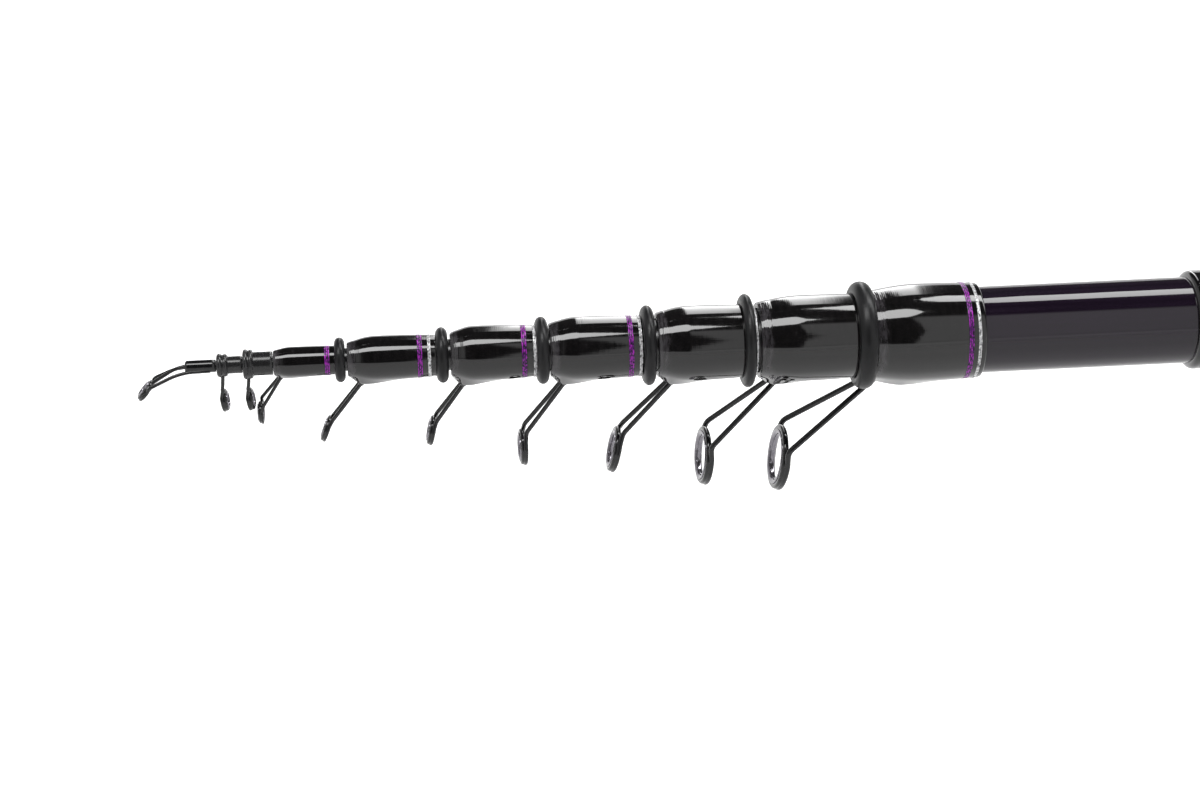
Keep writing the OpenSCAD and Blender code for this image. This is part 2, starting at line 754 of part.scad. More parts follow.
module butt_cap() {
    flutes = 12;
    flute_r = 0.8;
    x0 = rear_x(butt) + glue;
    spigot_r = insert_bore_d / 2 - spigot_fit;
    edge = 1;
    color("#232327") difference() {
        union() {
            spin(outer_round(0, cap_d / 2, x0, -pad_proud, edge));
            translate([x0 - spigot_len, 0, 0]) rotate([0, 90, 0])
                cylinder(r = spigot_r, h = spigot_len + edge);
        }
        translate([-pad_t - glue, 0, 0]) rotate([0, 90, 0])
            cylinder(d = pad_d + 2 * glue, h = pad_t + cut);
        for (i = [0:flutes - 1]) rotate([i * 360 / flutes, 0, 0])
            translate([x0 + 2 * edge, cap_d / 2 + flute_r / 2, 0])
                rotate([0, 90, 0]) cylinder(r = flute_r, h = cap_head);
    }
}

module butt_pad() {
    edge = 0.3;
    color("#2b2b2d") spin(outer_round(0, pad_d / 2, -pad_t, 0, edge));
}

tip_blank();
tip_top_frame();
tip_top_ring();
for (k = sliders) {
    slider_sleeve(k);
    slider_frame(k);
    slider_ring(k);
}
for (n = sections) {
    blank(n);
    wrap(n);
    bands(n);
    guide_frame(n);
    guide_ring(n);
}
for (n = inner_sections) {
    bumper(n);
}
seat_base();
fixed_hood();
slide_hood();
lock_lever();
lever_pin();
seat_whippings();
grip();
butt_insert();
butt_cap();
butt_pad();
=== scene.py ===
"""Looks of a closed telescopic fishing rod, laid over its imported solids.

The rod lies along X with its tip towards -X, and its line guides hang towards -Z. Sections are
numbered from the tip: 1 is the tip and 8 is the butt section. Sizes are in millimetres until a
mesh is made, and meshes are in metres.
"""
from collections import namedtuple
from functools import reduce

import bmesh
import bpy
import numpy as np
from mathutils import Matrix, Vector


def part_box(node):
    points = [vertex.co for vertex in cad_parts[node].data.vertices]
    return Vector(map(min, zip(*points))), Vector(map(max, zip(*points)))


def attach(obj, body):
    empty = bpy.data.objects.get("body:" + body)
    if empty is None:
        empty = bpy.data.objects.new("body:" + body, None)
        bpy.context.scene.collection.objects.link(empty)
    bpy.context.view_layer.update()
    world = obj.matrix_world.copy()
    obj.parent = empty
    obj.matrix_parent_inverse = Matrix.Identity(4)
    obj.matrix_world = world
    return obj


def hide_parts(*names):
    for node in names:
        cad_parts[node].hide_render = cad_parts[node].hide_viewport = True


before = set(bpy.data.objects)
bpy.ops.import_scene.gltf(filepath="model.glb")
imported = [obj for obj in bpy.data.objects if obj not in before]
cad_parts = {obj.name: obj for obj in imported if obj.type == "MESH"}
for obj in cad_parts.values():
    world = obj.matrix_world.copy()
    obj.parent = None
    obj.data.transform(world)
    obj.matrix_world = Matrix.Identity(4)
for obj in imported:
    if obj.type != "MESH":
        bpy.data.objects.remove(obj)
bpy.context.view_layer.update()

MM = 0.001
BUTT = 8
SECTIONS = range(2, BUTT + 1)
INNER_SECTIONS = range(2, BUTT)
# The bodies that carry the sections
BODY = {n: f"section_{n}" for n in INNER_SECTIONS}
BODY[BUTT] = "butt"
# Gap between a piece and what it lies on
FIT = 0.02


def each(*sizes):
    """A size of each section from the second on."""
    return dict(zip(SECTIONS, sizes))


def grown(first, growth):
    """A size of each section that grows by the same amount from one to the next."""
    return {n: first + (n - 2) * growth for n in SECTIONS}


# Blanks, from the tip to the butt section
FRONT_D = {1: 1.6, 2: 5.02, 3: 6.87, 4: 8.92, 5: 11.17, 6: 13.62, 7: 16.27, 8: 19.12}
REAR_D = {1: 3.7, 2: 5.42, 3: 7.34, 4: 9.46, 5: 11.78, 6: 14.3, 7: 17.02, 8: 20.52}
WALL = grown(0.6, 0.065)
EDGE_BREAK = 0.08

# Lacquered wraps
WRAP_THICK = each(0.85, 1.5, 1.65, 1.45, 1.5, 1.4, 1.35)
WRAP_FULLEST = each(0.25, 0.32, 0.28, 0.3, 0.32, 0.4, 0.45)
WRAP_FRONT_SHARE = 0.15
WRAP_REAR_SHARE = 0.7
# Length of the rounding at both ends of a wrap, and the part of its thickness that stands as a step
WRAP_FRONT_ROUND = 0.12
WRAP_FRONT_STEP = 0.35
WRAP_END_ROUND = 0.5
WRAP_END_STEP = 0.25
THREAD_PITCH = 0.00042

# Trim bands
PURPLE_OFF = 3.3
PURPLE_W = 1.15
PURPLE_STRANDS = 3
SILVER_OFF = 1.2
SILVER_W = 0.68
SILVER_CORDS = 2
SILVER_TWIST = 0.9
SILVER_LAG = 9
BAND_DEPTH = 0.3
# How far each band was wound off its usual place; on sections 6 and 7 it slips under the bumper
PURPLE_SHIFT = each(0.17, -0.6, 0.6, 0.56, 0.8, 0.9, -0.23)
SILVER_SHIFT = each(0.0, -0.63, 0.86, 0.6, 0.55, 0.0, -0.4)

# Width and height of the first turns of thread at the front of a wrap
LIP_W = each(1.1, 1.5, 1.7, 1.8, 1.9, 2.6, 2.0)
LIP_H = each(0.05, 0.06, 0.06, 0.06, 0.07, 0.05, 0.0)
# Where the lip rises, where it sinks about its width, and the groove behind it
LIP_RISE = (-0.2, 0.5)
LIP_SINK = (-0.9, 0.4)
GROOVE_SHARE = 0.4
GROOVE_W = 0.7
# Lacquer over the guide's wires: its greatest rise, where it starts, is highest and how long it sinks
HUMP = each(0.5, 1.4, 1.55, 1.55, 1.5, 1.55, 1.4)
HUMP_FROM = each(*[-0.6] * 6, -6.0)
HUMP_AT = each(1.2, 2.9, 2.5, 2.7, 3.0, 3.3, 7.0)
HUMP_FALL = each(*[11.0] * 6, 15.0)
HUMP_SINK_POWER = 1.3
# Half angle of the hump in degrees, and the points to each side over which its edges are evened
HUMP_TURN = 18.0
HUMP_EVEN = 5
# Places of the dimples beside the guide's foot, from the front of the wrap
DIMPLE_AT = {4: 13.9, 5: 11.7, 6: 9.1, 7: 6.2}
# Half length, half width and depth of a dimple, and its turn from the bottom in degrees
DIMPLE_LONG = 1.5
DIMPLE_WIDE = 0.9
DIMPLE_DEEP = {4: 0.3, 5: 0.3, 6: 0.3, 7: 0.08}
DIMPLE_TURN = 46.0

# Bumper rings
BUMPER_SIZE = grown(2.4, 0.28)
BUMPER_FIT = 0.04
BUMPER_COVER = each(1.3, 0.0, 0.0, 0.0, 3.2, 3.2)
BUMPER_WIDTH_SHARE = each(0.93, 1.0, 0.93, 0.84, 0.71, 1.12)
BUMPER_SHIFT = each(-0.22, -0.4, 0.0, 0.0, -0.15, 0.0)
# The least part of the height with straight sides, and the rounding's height in widths
BUMPER_SIDE = 0.3
BUMPER_ROUND = 0.62
# Half widths of the bore and of its broken edges, in widths, and how deep these are
BUMPER_BORE = 0.38
BUMPER_EDGE = 0.46
BUMPER_BREAK = 0.12

# Line guides
WIRE_D = grown(0.8, 0.09)
FRAME_WALL = grown(0.55, 0.09)
FRAME_T = grown(1.1, 0.04)
FRAME_ROUND = 0.42
FRAME_BREAK = 0.06
INSERT_WALL = grown(0.65, 0.08)
INSERT_PROUD = 0.2
INSERT_LAND = 0.3
INSERT_LIP = 0.8
INSERT_SHOULDER = 0.06
RING_D = each(5.0, 6.0, 6.6, 8.2, 10.4, 13.2, 14.8)
RING_LEAD = each(3.6, 5.5, 4.9, 6.4, 9.4, 11.4, 19.2)
RING_DROP = each(12.6, 17.6, 19.5, 25.2, 27.0, 30.0, 31.5)
# Lean of each ring and the sideways turn that it got when its wires were bent, in degrees
RING_TILT = each((0, 0), (20, -9), (12, -3.4), (1, 3), (13, -3), (7, 3), (10, 1))
# Where the two wires bend in to the ring: the turn from its top and the distance in wires
LEG_TURN = each(34, 24, 26, 21, 21, 44, 50)
LEG_STAND_OFF = each(0.9, 0.7, 0.7, 1.0, 0.8, 0.9, 1.0)
# How far the two bends lie behind the ring's plane, in wires, on the near side and on the far side
LEG_BACK = each((0.9, 0.3), *[(0.65, 0.65)] * 4, (0.1, 0.75), (0.1, 0.75))
# Size of the bend in wires, and how far the wire lies behind the frame in frame thicknesses
LEG_REACH = grown(0.4, 0.1)
LEG_BEHIND = grown(0.25, 0.045)
# The wire's run round the ring: from how far past the bend, to where, and how it lies and thins
LEG_RUN_TURN = 24.0
LEG_LAST_TURN = 176.0
LEG_INSET = 0.25
LEG_END_THIN = 0.84
KNEE = each(1.6, 4.1, 4.1, 4.4, 4.8, 5.4, 2.0)
KNEE_SPREAD = 0.66
KNEE_SINK = 0.7
KNEE_REACH = 1.4
FOOT_LEN = 7.0
FOOT_SHARE = 0.7
# Sections whose wires carry a drop of lacquer at the wrap, and its half sizes in wires
DROPS = (3, 4, 5, 6, 7)
DROP_WIDE = 0.72
DROP_LONG = 1.2

# Tip-top
TOP_TUBE_D = 2.8
TOP_TUBE_LEN = 6.6
TOP_NOSE = 0.6
TOP_BORE_FROM = 1.5
TOP_RING_D = 5.2
TOP_RING_LEAD = 9.0
TOP_RING_DROP = 5.4
TOP_TILT = (40, -12)
TOP_WIRE_D = 0.8
TOP_ROOTS = ((5.2, 1.12, -0.62), (0.4, 1.15, -0.72), (-2.6, 1.5, -1.35))
TOP_REACHES = (1.4, 1.4, 0.56)
TOP_LEG_TURN = 42
TOP_STAND_OFF = 0.9
TOP_BEHIND = 0.3
TOP_BRACE = ((0.5, 0, 0.3), (-2.2, 0, -0.25))
TOP_BRACE_REACH = 1.6

# Sliding guides
COLLAR_LEN = {1: 2.4, 2: 2.2}
COLLAR_D = {1: 5.2, 2: 6.6}
# The collar's beads: depth of the middle, height, middle and half length in collars, ends in degrees
BEADS = ((0.62, 0.62, 0.26, 0.26, -85, 60), (0.6, 0.5, 0.76, 0.22, -50, 80))
SLEEVE_D = {1: 3.8, 2: 5.2}
SLEEVE_BORE = {1: 1.207, 2: 1.528}
SLEEVE_BREAK = 0.1
SLIDER_RING_D = 5.0
SLIDER_RING_DROP = 8.9
SLIDER_TILT = (-8, 0)
SLIDER_REACH = 0.6
SLIDER_LEG_TURN = 26
SLIDER_STAND_OFF = 0.9
SLIDER_BEHIND = -0.45

# Reel seat's whippings and grip
WHIPPING_LEN = 17.0
WHIPPING_RISE = 1.4
WHIPPING_ROUND = 1.4
WHIPPING_STEP = 0.1
GRIP_R = 11.2
GRIP_FRONT_RUN = 1.6
GRIP_FRONT_LIFT = 0.1
GRIP_REAR_ROUND = 0.5
WEAVE_ALONG = 110
WEAVE_ROUND = 28

# Butt
BUTT_INSERT_R = 7.25
SPIGOT_R = 7.15
SPIGOT_BREAK = 0.35
CAP_R = 11.0
CAP_FRONT_ROUND = 0.4
CAP_REAR_ROUND = 1.0
CAP_CUP_R = 9.03
CAP_CUP_DEEP = 2.6
CAP_FLUTES = 12
CAP_FLUTE_DEEP = 0.4
CAP_FLUTE_CUT = 0.72
CAP_FLUTE_RUN = (1.6, 2.4)
CAP_FLUTED_R = 9.8
PAD_R = 8.7
PAD_ROUND = 0.3
PAD_RINGS = (6.6, 4.2)
PAD_RING_W = 0.35
PAD_RING_DEEP = 0.25

# Studio: the lights of the ground, the room and the soft boxes, and the places of these
GROUND_LIGHT = 0.9
ROOM_LIGHT = 0.04
OVER_LIGHT = 8.0
OVER_ANGLE = 1.40
OVER_HALF = 0.2
OVER_POINT = 0.19
OVER_POWER = 1.8
BEHIND_LIGHT = 8.0
BEHIND_ANGLE = 2.0
BEHIND_HALF = 0.18
LOW_BEHIND_LIGHT = 4.5
BEFORE_LIGHT = 0.8
NOTCH_ANGLE = 0.63
NOTCH_SLOPE = 0.2
AHEAD_LIGHT = 0.55
BOX_EDGE = 0.025
RAGGED = 0.05
FLOOR_HALF = 6000.0
FLOOR_Z = -250.0
FLOOR_CELLS = 8
FLOOR_GLOW = 0.7

# Camera: angles in degrees, what it looks at, its drop and its distance in metres
CAMERA_AZIMUTH = -5.13
CAMERA_ELEVATION = 33.0
CAMERA_AIM = (-0.6739, 0, 0)
CAMERA_DROP = 0.01155
CAMERA_FAR = 0.55
LENS = 75
SENSOR_W = 36


def span(node):
    """The front and the rear end of a solid along the rod, in millimetres."""
    low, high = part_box(node)
    return low[0] / MM, high[0] / MM


BLANK_SPAN = {n: span(f"section_{n}_blank") for n in SECTIONS}
BLANK_SPAN[1] = span("tip_blank")
WRAP_LEN = {n: span(f"section_{n}_wrap")[1] - BLANK_SPAN[n][0] for n in SECTIONS}


def blank_r(n, x):
    """Radius of a blank at a place along the rod: a straight taper from front to rear."""
    x0, x1 = BLANK_SPAN[n]
    return (FRONT_D[n] + (REAR_D[n] - FRONT_D[n]) * (x - x0) / (x1 - x0)) / 2


def wrap_share(u, full):
    """Thickness of a wrap over its length: a quarter sine up to the fullest place, then a parabola."""
    rise = WRAP_FRONT_SHARE + (1 - WRAP_FRONT_SHARE) * np.sin(np.pi / 2 * u / full)
    fall = 1 - (1 - WRAP_REAR_SHARE) * ((u - full) / (1 - full)) ** 2
    return np.where(u < full, rise, fall)


def wrap_r(n, s):
    """Radius of a wrap at a distance behind its front: the blank and the wrap's thickness."""
    thick = WRAP_THICK[n] * wrap_share(s / WRAP_LEN[n], WRAP_FULLEST[n])
    return blank_r(n, BLANK_SPAN[n][0] + s) + thick


def smooth(edge0, edge1, x):
    """A soft step from 0 at one edge to 1 at the other: the cubic 3t^2 - 2t^3."""
    t = np.clip((x - edge0) / (edge1 - edge0), 0, 1)
    return t * t * (3 - 2 * t)


def bell(x, middle, width):
    """A smooth bump of height 1: the Gauss curve about a middle."""
    return np.exp(-(((x - middle) / width) ** 2))


# Surfaces

# A grid of points that closes round its columns, the UV numbers of its rows, and if its rows close too.
# A direction that closes has one UV number more than it has points
Patch = namedtuple("Patch", "points rows closed")


def patch_faces(part, first):
    """Corner numbers and UVs of a grid's quads: each point joins the next one of its row and column."""
    count_r, count_c = part.points.shape[:2]
    cols = np.linspace(0, 1, count_c + 1)
    i = np.arange(count_r if part.closed else count_r - 1)
    i, j = np.meshgrid(i, np.arange(count_c), indexing="ij")
    steps = ((0, 0), (0, 1), (1, 1), (1, 0))
    quads = [((i + a) % count_r) * count_c + (j + b) % count_c for a, b in steps]
    uvs = [np.stack([part.rows[i + a], cols[j + b]], axis=-1) for a, b in steps]
    return np.stack(quads, axis=-1).reshape(-1, 4) + first, np.stack(uvs, axis=-2).reshape(-1, 4, 2)


def turned_out(points, quads, uvs):
    """The quads with their outside facing outwards: a closed shell has a positive volume."""
    a, b, c, d = (points[quads[:, k]] for k in range(4))
    volume = np.einsum("ij,ij->", a, np.cross(b, c)) + np.einsum("ij,ij->", a, np.cross(c, d))
    return (quads[:, ::-1], uvs[:, ::-1]) if volume < 0 else (quads, uvs)


def placed(name, data):
    """An object of some data, at the origin."""
    thing = bpy.data.objects.new(name, data)
    bpy.context.scene.collection.objects.link(thing)
    return thing


def piece(name, patches, material, body, node, sharp=35.0):
    """An object of closed grids in metres, with smooth faces, sharp edges by angle and one material.

    It moves with its body, takes its finish and stands for its solid.
    """
    grids = [p.points.reshape(-1, 3) for p in patches]
    points = np.concatenate(grids)
    starts = np.cumsum([0] + [len(grid) for grid in grids])
    pairs = [turned_out(points, *patch_faces(p, first)) for p, first in zip(patches, starts)]
    quads = np.concatenate([pair[0] for pair in pairs])
    uvs = np.concatenate([pair[1] for pair in pairs])
    mesh = bpy.data.meshes.new(name)
    mesh.from_pydata((points * MM).tolist(), [], quads.tolist())
    layer = mesh.uv_layers.new(name="along_and_round")
    layer.uv.foreach_set("vector", uvs.reshape(-1, 2).astype(np.float32).ravel())
    shell = bmesh.new()
    shell.from_mesh(mesh)
    bmesh.ops.remove_doubles(shell, verts=shell.verts, dist=1e-8)
    shell.to_mesh(mesh)
    shell.free()
    mesh.polygons.foreach_set("use_smooth", np.ones(len(mesh.polygons), dtype=bool))
    mesh.set_sharp_from_angle(angle=np.radians(sharp))
    mesh.materials.append(material)
    thing = placed(name, mesh)
    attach(thing, body)
    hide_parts(node)


def round_turn(count):
    """Even turns once round from the top, in radians."""
    return np.linspace(0, 2 * np.pi, count, endpoint=False)


def outline_of(radius, place):
    """Points of an outline from radii and places; one number stands for a whole row."""
    return np.stack(np.broadcast_arrays(radius, place), axis=-1)


def ring_axes(tilt):
    """The axis, top and side of X, Z and Y leaned down by one angle and turned sideways by another."""
    lean, yaw = np.radians(tilt)
    ahead = np.array([np.cos(yaw), np.sin(yaw), 0])
    up = np.array([0, 0, 1.0])
    side = np.array([-np.sin(yaw), np.cos(yaw), 0])
    return np.cos(lean) * ahead - np.sin(lean) * up, np.sin(lean) * ahead + np.cos(lean) * up, side


def turned(profile, centre=(0, 0, 0), tilt=(0, 0), around=128, rows=None):
    """A closed outline of radius and place, carried round a tilted axis through a centre.

    A point lies at its place along the axis and at its radius times the cosine and the sine of the
    turn, from the ring's top and from its side.
    """
    profile = np.asarray(profile, dtype=float)
    if profile.ndim == 2:
        profile = profile[:, None]
    axis, top, side = ring_axes(tilt)
    turn = round_turn(around)[None, :, None]
    out = np.cos(turn) * top + np.sin(turn) * side
    points = centre + profile[..., :1] * out + profile[..., 1:] * axis
    if rows is None:
        rows = np.linspace(0, 1, len(profile) + 1)
    return Patch(points, rows, True)


def bent(corners, reaches, steps=8):
    """A path through corners, each inner one rounded by a curve of the second degree."""
    corners = np.asarray(corners, dtype=float)
    t = np.linspace(0, 1, steps)[:, None]
    runs = [corners[:1]]
    for at, before, after, reach in zip(corners[1:-1], corners[:-2], corners[2:], reaches):
        a = at + (before - at) / np.linalg.norm(before - at) * reach
        b = at + (after - at) / np.linalg.norm(after - at) * reach
        runs.append((1 - t) ** 2 * a + 2 * t * (1 - t) * at + t ** 2 * b)
    runs.append(corners[-1:])
    return np.concatenate(runs)


def wire(path, radius, around=20):
    """A round wire along a path, with half-ball ends.

    Each row is a circle across the path's direction. At both ends the rows shrink by the sine of
    an angle while they move out by its cosine.
    """
    radius = np.broadcast_to(radius, len(path))
    way = np.gradient(path, axis=0)
    way /= np.linalg.norm(way, axis=1, keepdims=True)
    bow = np.linspace(0, np.pi / 2, 7)[:-1]
    front = path[0] - way[0] * radius[0] * np.cos(bow)[:, None]
    back = path[-1] + way[-1] * radius[-1] * np.cos(bow[::-1])[:, None]
    centres = np.concatenate([front, path, back])
    ways = np.concatenate([np.repeat(way[:1], len(bow), 0), way, np.repeat(way[-1:], len(bow), 0)])
    radii = np.concatenate([radius[0] * np.sin(bow), radius, radius[-1] * np.sin(bow[::-1])])
    across = np.cross(ways, np.array([1.0, 0.35, 0.2]))
    across /= np.linalg.norm(across, axis=1, keepdims=True)
    up = np.cross(ways, across)
    turn = round_turn(around)[None, :, None]
    spoke = np.cos(turn) * across[:, None] + np.sin(turn) * up[:, None]
    points = centres[:, None] + radii[:, None, None] * spoke
    run = np.concatenate([[0], np.cumsum(np.linalg.norm(np.diff(centres, axis=0), axis=1))])
    return Patch(points, run, False)


def arc(centre, radii, start, end, steps=8):
    """Points of an ellipse's or a circle's arc, as radius and place, between two angles in degrees."""
    radii = np.broadcast_to(radii, 2)
    a = np.radians(np.linspace(start, end, steps))
    return outline_of(centre[0] + radii[0] * np.cos(a), centre[1] + radii[1] * np.sin(a))


# Finishes


def put(tree, kind, inputs=None, **settings):
    """A node with its settings, its numbers and its links."""
    node = tree.nodes.new("ShaderNode" + kind)
    for key, value in settings.items():
        setattr(node, key, value)
    for key, value in (inputs or {}).items():
        if isinstance(value, bpy.types.NodeSocket):
            tree.links.new(value, node.inputs[key])
        else:
            node.inputs[key].default_value = value
    return node


def finish(name, **skin):
    """A material with one shader whose plain numbers are set on its own sockets."""
    material = bpy.data.materials.new(name)
    material.use_nodes = True
    tree = material.node_tree
    tree.nodes.clear()
    numbers = {key.replace("_", " "): value for key, value in skin.items()}
    shader = put(tree, "BsdfPrincipled", numbers)
    put(tree, "OutputMaterial", {"Surface": shader.outputs[0]})
    return material, tree, shader


def math(operation, a, b=0.0):
    """The result of one sum of two numbers."""
    tree = next(value.id_data for value in (a, b) if isinstance(value, bpy.types.NodeSocket))
    return put(tree, "Math", {0: a, 1: b}, operation=operation).outputs[0]


def total(*parts):
    """Several numbers added."""
    return reduce(lambda a, b: math("ADD", a, b), parts)


def product(*factors):
    """Several numbers multiplied."""
    return reduce(lambda a, b: math("MULTIPLY", a, b), factors)


def off_from(value, middle):
    """The distance of a number from a middle."""
    return math("ABSOLUTE", math("SUBTRACT", value, middle))


def straight(value, start, end, low=0.0, high=1.0, form="LINEAR"):
    """A straight line over a number, from low at the start to high at the end, held at both ends."""
    numbers = {"Value": value, "From Min": start, "From Max": end, "To Min": low, "To Max": high}
    return put(value.id_data, "MapRange", numbers, interpolation_type=form).outputs[0]


def soft(value, start, end, low=0.0, high=1.0):
    """A soft step of a number, from low at the start to high at the end."""
    return straight(value, start, end, low, high, "SMOOTHSTEP")


def scaled(factor, low, high):
    """A factor from 0 to 1 carried to another range."""
    return straight(factor, 0.0, 1.0, low, high)


def ramp(factor, *stops):
    """Colours over a factor, from pairs of place and colour."""
    node = put(factor.id_data, "ValToRGB", {"Fac": factor})
    band = node.color_ramp
    while len(band.elements) < len(stops):
        band.elements.new(0.5)
    for element, (place, colour) in zip(band.elements, stops):
        element.position = place
        element.color = (*colour, 1)
    return node.outputs["Color"]


def parts_of(tree, source):
    """The three parts of one kind of coordinates."""
    where = put(tree, "TexCoord").outputs[source]
    return put(tree, "SeparateXYZ", {"Vector": where}).outputs


def noise(tree, scale, detail=3.0, squeeze=(1.0, 1.0, 1.0), source="Object"):
    """Soft noise, squeezed along the axes of its coordinates."""
    where = put(tree, "TexCoord").outputs[source]
    where = put(tree, "Mapping", {"Vector": where, "Scale": squeeze}).outputs[0]
    numbers = {"Vector": where, "Scale": scale, "Detail": detail}
    return put(tree, "TexNoise", numbers).outputs["Fac"]


def bump(height, distance, normal=None):
    """A small relief of a height in metres."""
    inputs = {"Height": height, "Distance": distance, "Strength": 1.0}
    if normal is not None:
        inputs["Normal"] = normal
    return put(height.id_data, "Bump", inputs).outputs[0]


def link(out, shader, *sockets):
    """One result on several sockets of a shader."""
    for socket in sockets:
        shader.id_data.links.new(out, shader.inputs[socket])


def paint(shader, tone, *stops):
    """A shader's colour over a tone, from pairs of place and colour."""
    link(ramp(tone, *stops), shader, "Base Color")


def roughen(shader, tone, low, high):
    """A shader's roughness over a tone."""
    link(scaled(tone, low, high), shader, "Roughness")


def painted_blank():
    """Deep violet-black paint under clear coat, with a faint long grain of carbon fibre."""
    material, tree, shader = finish("painted_blank", Coat_Weight=1.0, Coat_Roughness=0.03,
                                    Specular_IOR_Level=0.05)
    grain = noise(tree, 900, 4, (0.02, 1, 1))
    paint(shader, grain, (0.3, (0.006, 0.003, 0.008)), (0.75, (0.012, 0.0062, 0.0155)))
    roughen(shader, grain, 0.08, 0.2)
    link(bump(noise(tree, 260, 2), 0.000004), shader, "Coat Normal")
    return material


def plain(name, tone, stops, rough, relief, grain=None, **skin):
    """A material whose colour follows one noise, and whose roughness and relief follow its grain.

    A noise is given by its scale, its detail and its squeeze. Without a grain the first one serves.
    """
    material, tree, shader = finish(name, **skin)
    tone = noise(tree, *tone)
    grain = noise(tree, *grain) if grain else tone
    paint(shader, tone, *stops)
    roughen(shader, grain, *rough)
    if relief:
        link(bump(grain, relief), shader, "Normal")
    return material


def dimple_painted_shade(tree):
    """Painted shade of the wraps' dimples: one in the dimples but not in their middle, and nought
    elsewhere.

    It goes by the squared distance from the nearest dimple's middle along the rod and round it, each
    measured in the dimple's half size: full from 0.14 to 0.9, nought under 0.04 and over 1.05.
    """
    x, y, z = parts_of(tree, "Object")
    along = None
    for n, at in DIMPLE_AT.items():
        off = off_from(x, (BLANK_SPAN[n][0] + at) * MM)
        along = off if along is None else math("MINIMUM", along, off)
    turn = math("ARCTAN2", math("ABSOLUTE", y), product(z, -1.0))
    radius = math("SQRT", total(product(y, y), product(z, z)))
    away = product(math("SUBTRACT", turn, np.radians(DIMPLE_TURN)), radius)
    long_part = math("POWER", math("DIVIDE", along, DIMPLE_LONG * MM), 2.0)
    wide_part = product(away, 1 / (DIMPLE_WIDE * MM))
    square = total(long_part, product(wide_part, wide_part))
    inside = straight(square, 0.9, 1.05, 1.0, 0.0)
    return product(inside, straight(square, 0.04, 0.14))


def thread_lacquer():
    """Thick clear lacquer over black winding thread.

    The turns of thread show as a ripple along the rod that is strong near the wrap's front and
    fades behind it. A slow unevenness of the lacquer lies under the ripple. The first turns are
    painted paler, a painted sheen. In the dimples, but not their middle, the coat and the specular
    are taken away, a painted shade that makes them dark.
    """
    material, tree, shader = finish("thread_lacquer", Coat_Roughness=0.02)
    along = parts_of(tree, "UV")[0]
    x = parts_of(tree, "Object")[0]
    sway = product(noise(tree, 220, 2), 5.0)
    turns = math("SINE", total(product(x, 2 * np.pi / THREAD_PITCH), sway))
    near_front = soft(along, 0.06, 0.4, 1.0, 0.22)
    first = soft(along, 0.06, 0.13, 1.0, 0.0)
    ribs = total(near_front, product(first, 3.0))
    uneven = product(noise(tree, 1200, 2, (1, 0.25, 0.25)), 5.0)
    ripple = product(total(product(turns, 0.3), uneven), ribs)
    fleck = noise(tree, 1400, 3, (1, 0.3, 0.3))
    # The first turns are painted paler over the fleck's random tone: a painted sheen for the glints on
    # their ripple
    tone = total(fleck, product(first, 0.4))
    paint(shader, tone, (0.3, (0.0022, 0.002, 0.0022)), (0.68, (0.0055, 0.0048, 0.0052)),
          (1.0, (0.04, 0.037, 0.041)))
    roughen(shader, fleck, 0.06, 0.16)
    # Painted shade: coat and specular are taken away in the dimples but not their middle, so these render
    # dark
    clear = math("SUBTRACT", 1.0, dimple_painted_shade(tree))
    link(clear, shader, "Coat Weight")
    link(product(clear, 0.2), shader, "Specular IOR Level")
    skin = bump(noise(tree, 190, 1), 0.00001)
    link(bump(ripple, 0.000004, skin), shader, "Normal", "Coat Normal")
    return material


def purple_thread():
    """Metallic purple thread: strands side by side, each a string of bright and dark turns, with painted
    light and shade across each strand.
    """
    material, tree, shader = finish("purple_thread", Metallic=0.2, Coat_Weight=0.35,
                                    Coat_Roughness=0.05, Specular_IOR_Level=0.2)
    turn = product(parts_of(tree, "UV")[0], PURPLE_STRANDS * np.pi)
    # Painted light and shade: each strand is bright along its crown and near black where it meets the next
    strand_painted_light = math("ABSOLUTE", math("SINE", turn))
    mottle = noise(tree, 1500, 2, (2.0, 1, 1))
    tone = product(strand_painted_light, scaled(mottle, -0.9, 2.1))
    paint(shader, tone, (0.12, (0.006, 0.0008, 0.01)), (0.42, (0.09, 0.005, 0.14)),
          (0.85, (0.46, 0.022, 0.52)))
    roughen(shader, mottle, 0.25, 0.5)
    link(bump(tone, 0.00002), shader, "Normal")
    return material


def rubber(name, dark, light, grain, rough):
    """Matt rubber with a fine grain, paler dusty patches and soft wear."""
    return plain(name, (180, 4), ((0.35, dark), (0.75, light)), (rough, rough + 0.16), 0.00003,
                 (grain, 3), Specular_IOR_Level=0.28)


def moulded(name, dark, light, gloss, coat):
    """Moulded black plastic: a fine spark-eroded grain with a slow change of tone."""
    return plain(name, (60, 3), ((0.3, dark), (0.75, light)), (gloss, gloss + 0.2), 0.00001,
                 (2600, 2), Coat_Weight=coat, Coat_Roughness=0.2, Specular_IOR_Level=0.25)


def brushed(name, dark, light, squeeze):
    """Brushed metal: long fine scratches that change its tone and its gloss."""
    return plain(name, (800, 4, squeeze), ((0.3, dark), (0.75, light)), (0.2, 0.4), 0.000006,
                 Metallic=0.95)


def grip_sleeve():
    """Black shrunk rubber sleeve with a small woven relief of crossed ridges."""
    material, tree, shader = finish("grip_sleeve", Sheen_Weight=0.1, Specular_IOR_Level=0.4)
    along, around = parts_of(tree, "UV")[:2]
    run = product(along, 2 * np.pi * WEAVE_ALONG)
    turn = product(around, 2 * np.pi * WEAVE_ROUND)
    one = math("SINE", total(run, turn))
    two = math("SINE", math("SUBTRACT", run, turn))
    wear = noise(tree, 90, 4)
    paint(shader, wear, (0.3, (0.009, 0.009, 0.0095)), (0.75, (0.022, 0.022, 0.023)))
    roughen(shader, wear, 0.5, 0.7)
    link(bump(product(one, two), 0.00018), shader, "Normal")
    return material


PAINTED_BLANK = painted_blank()
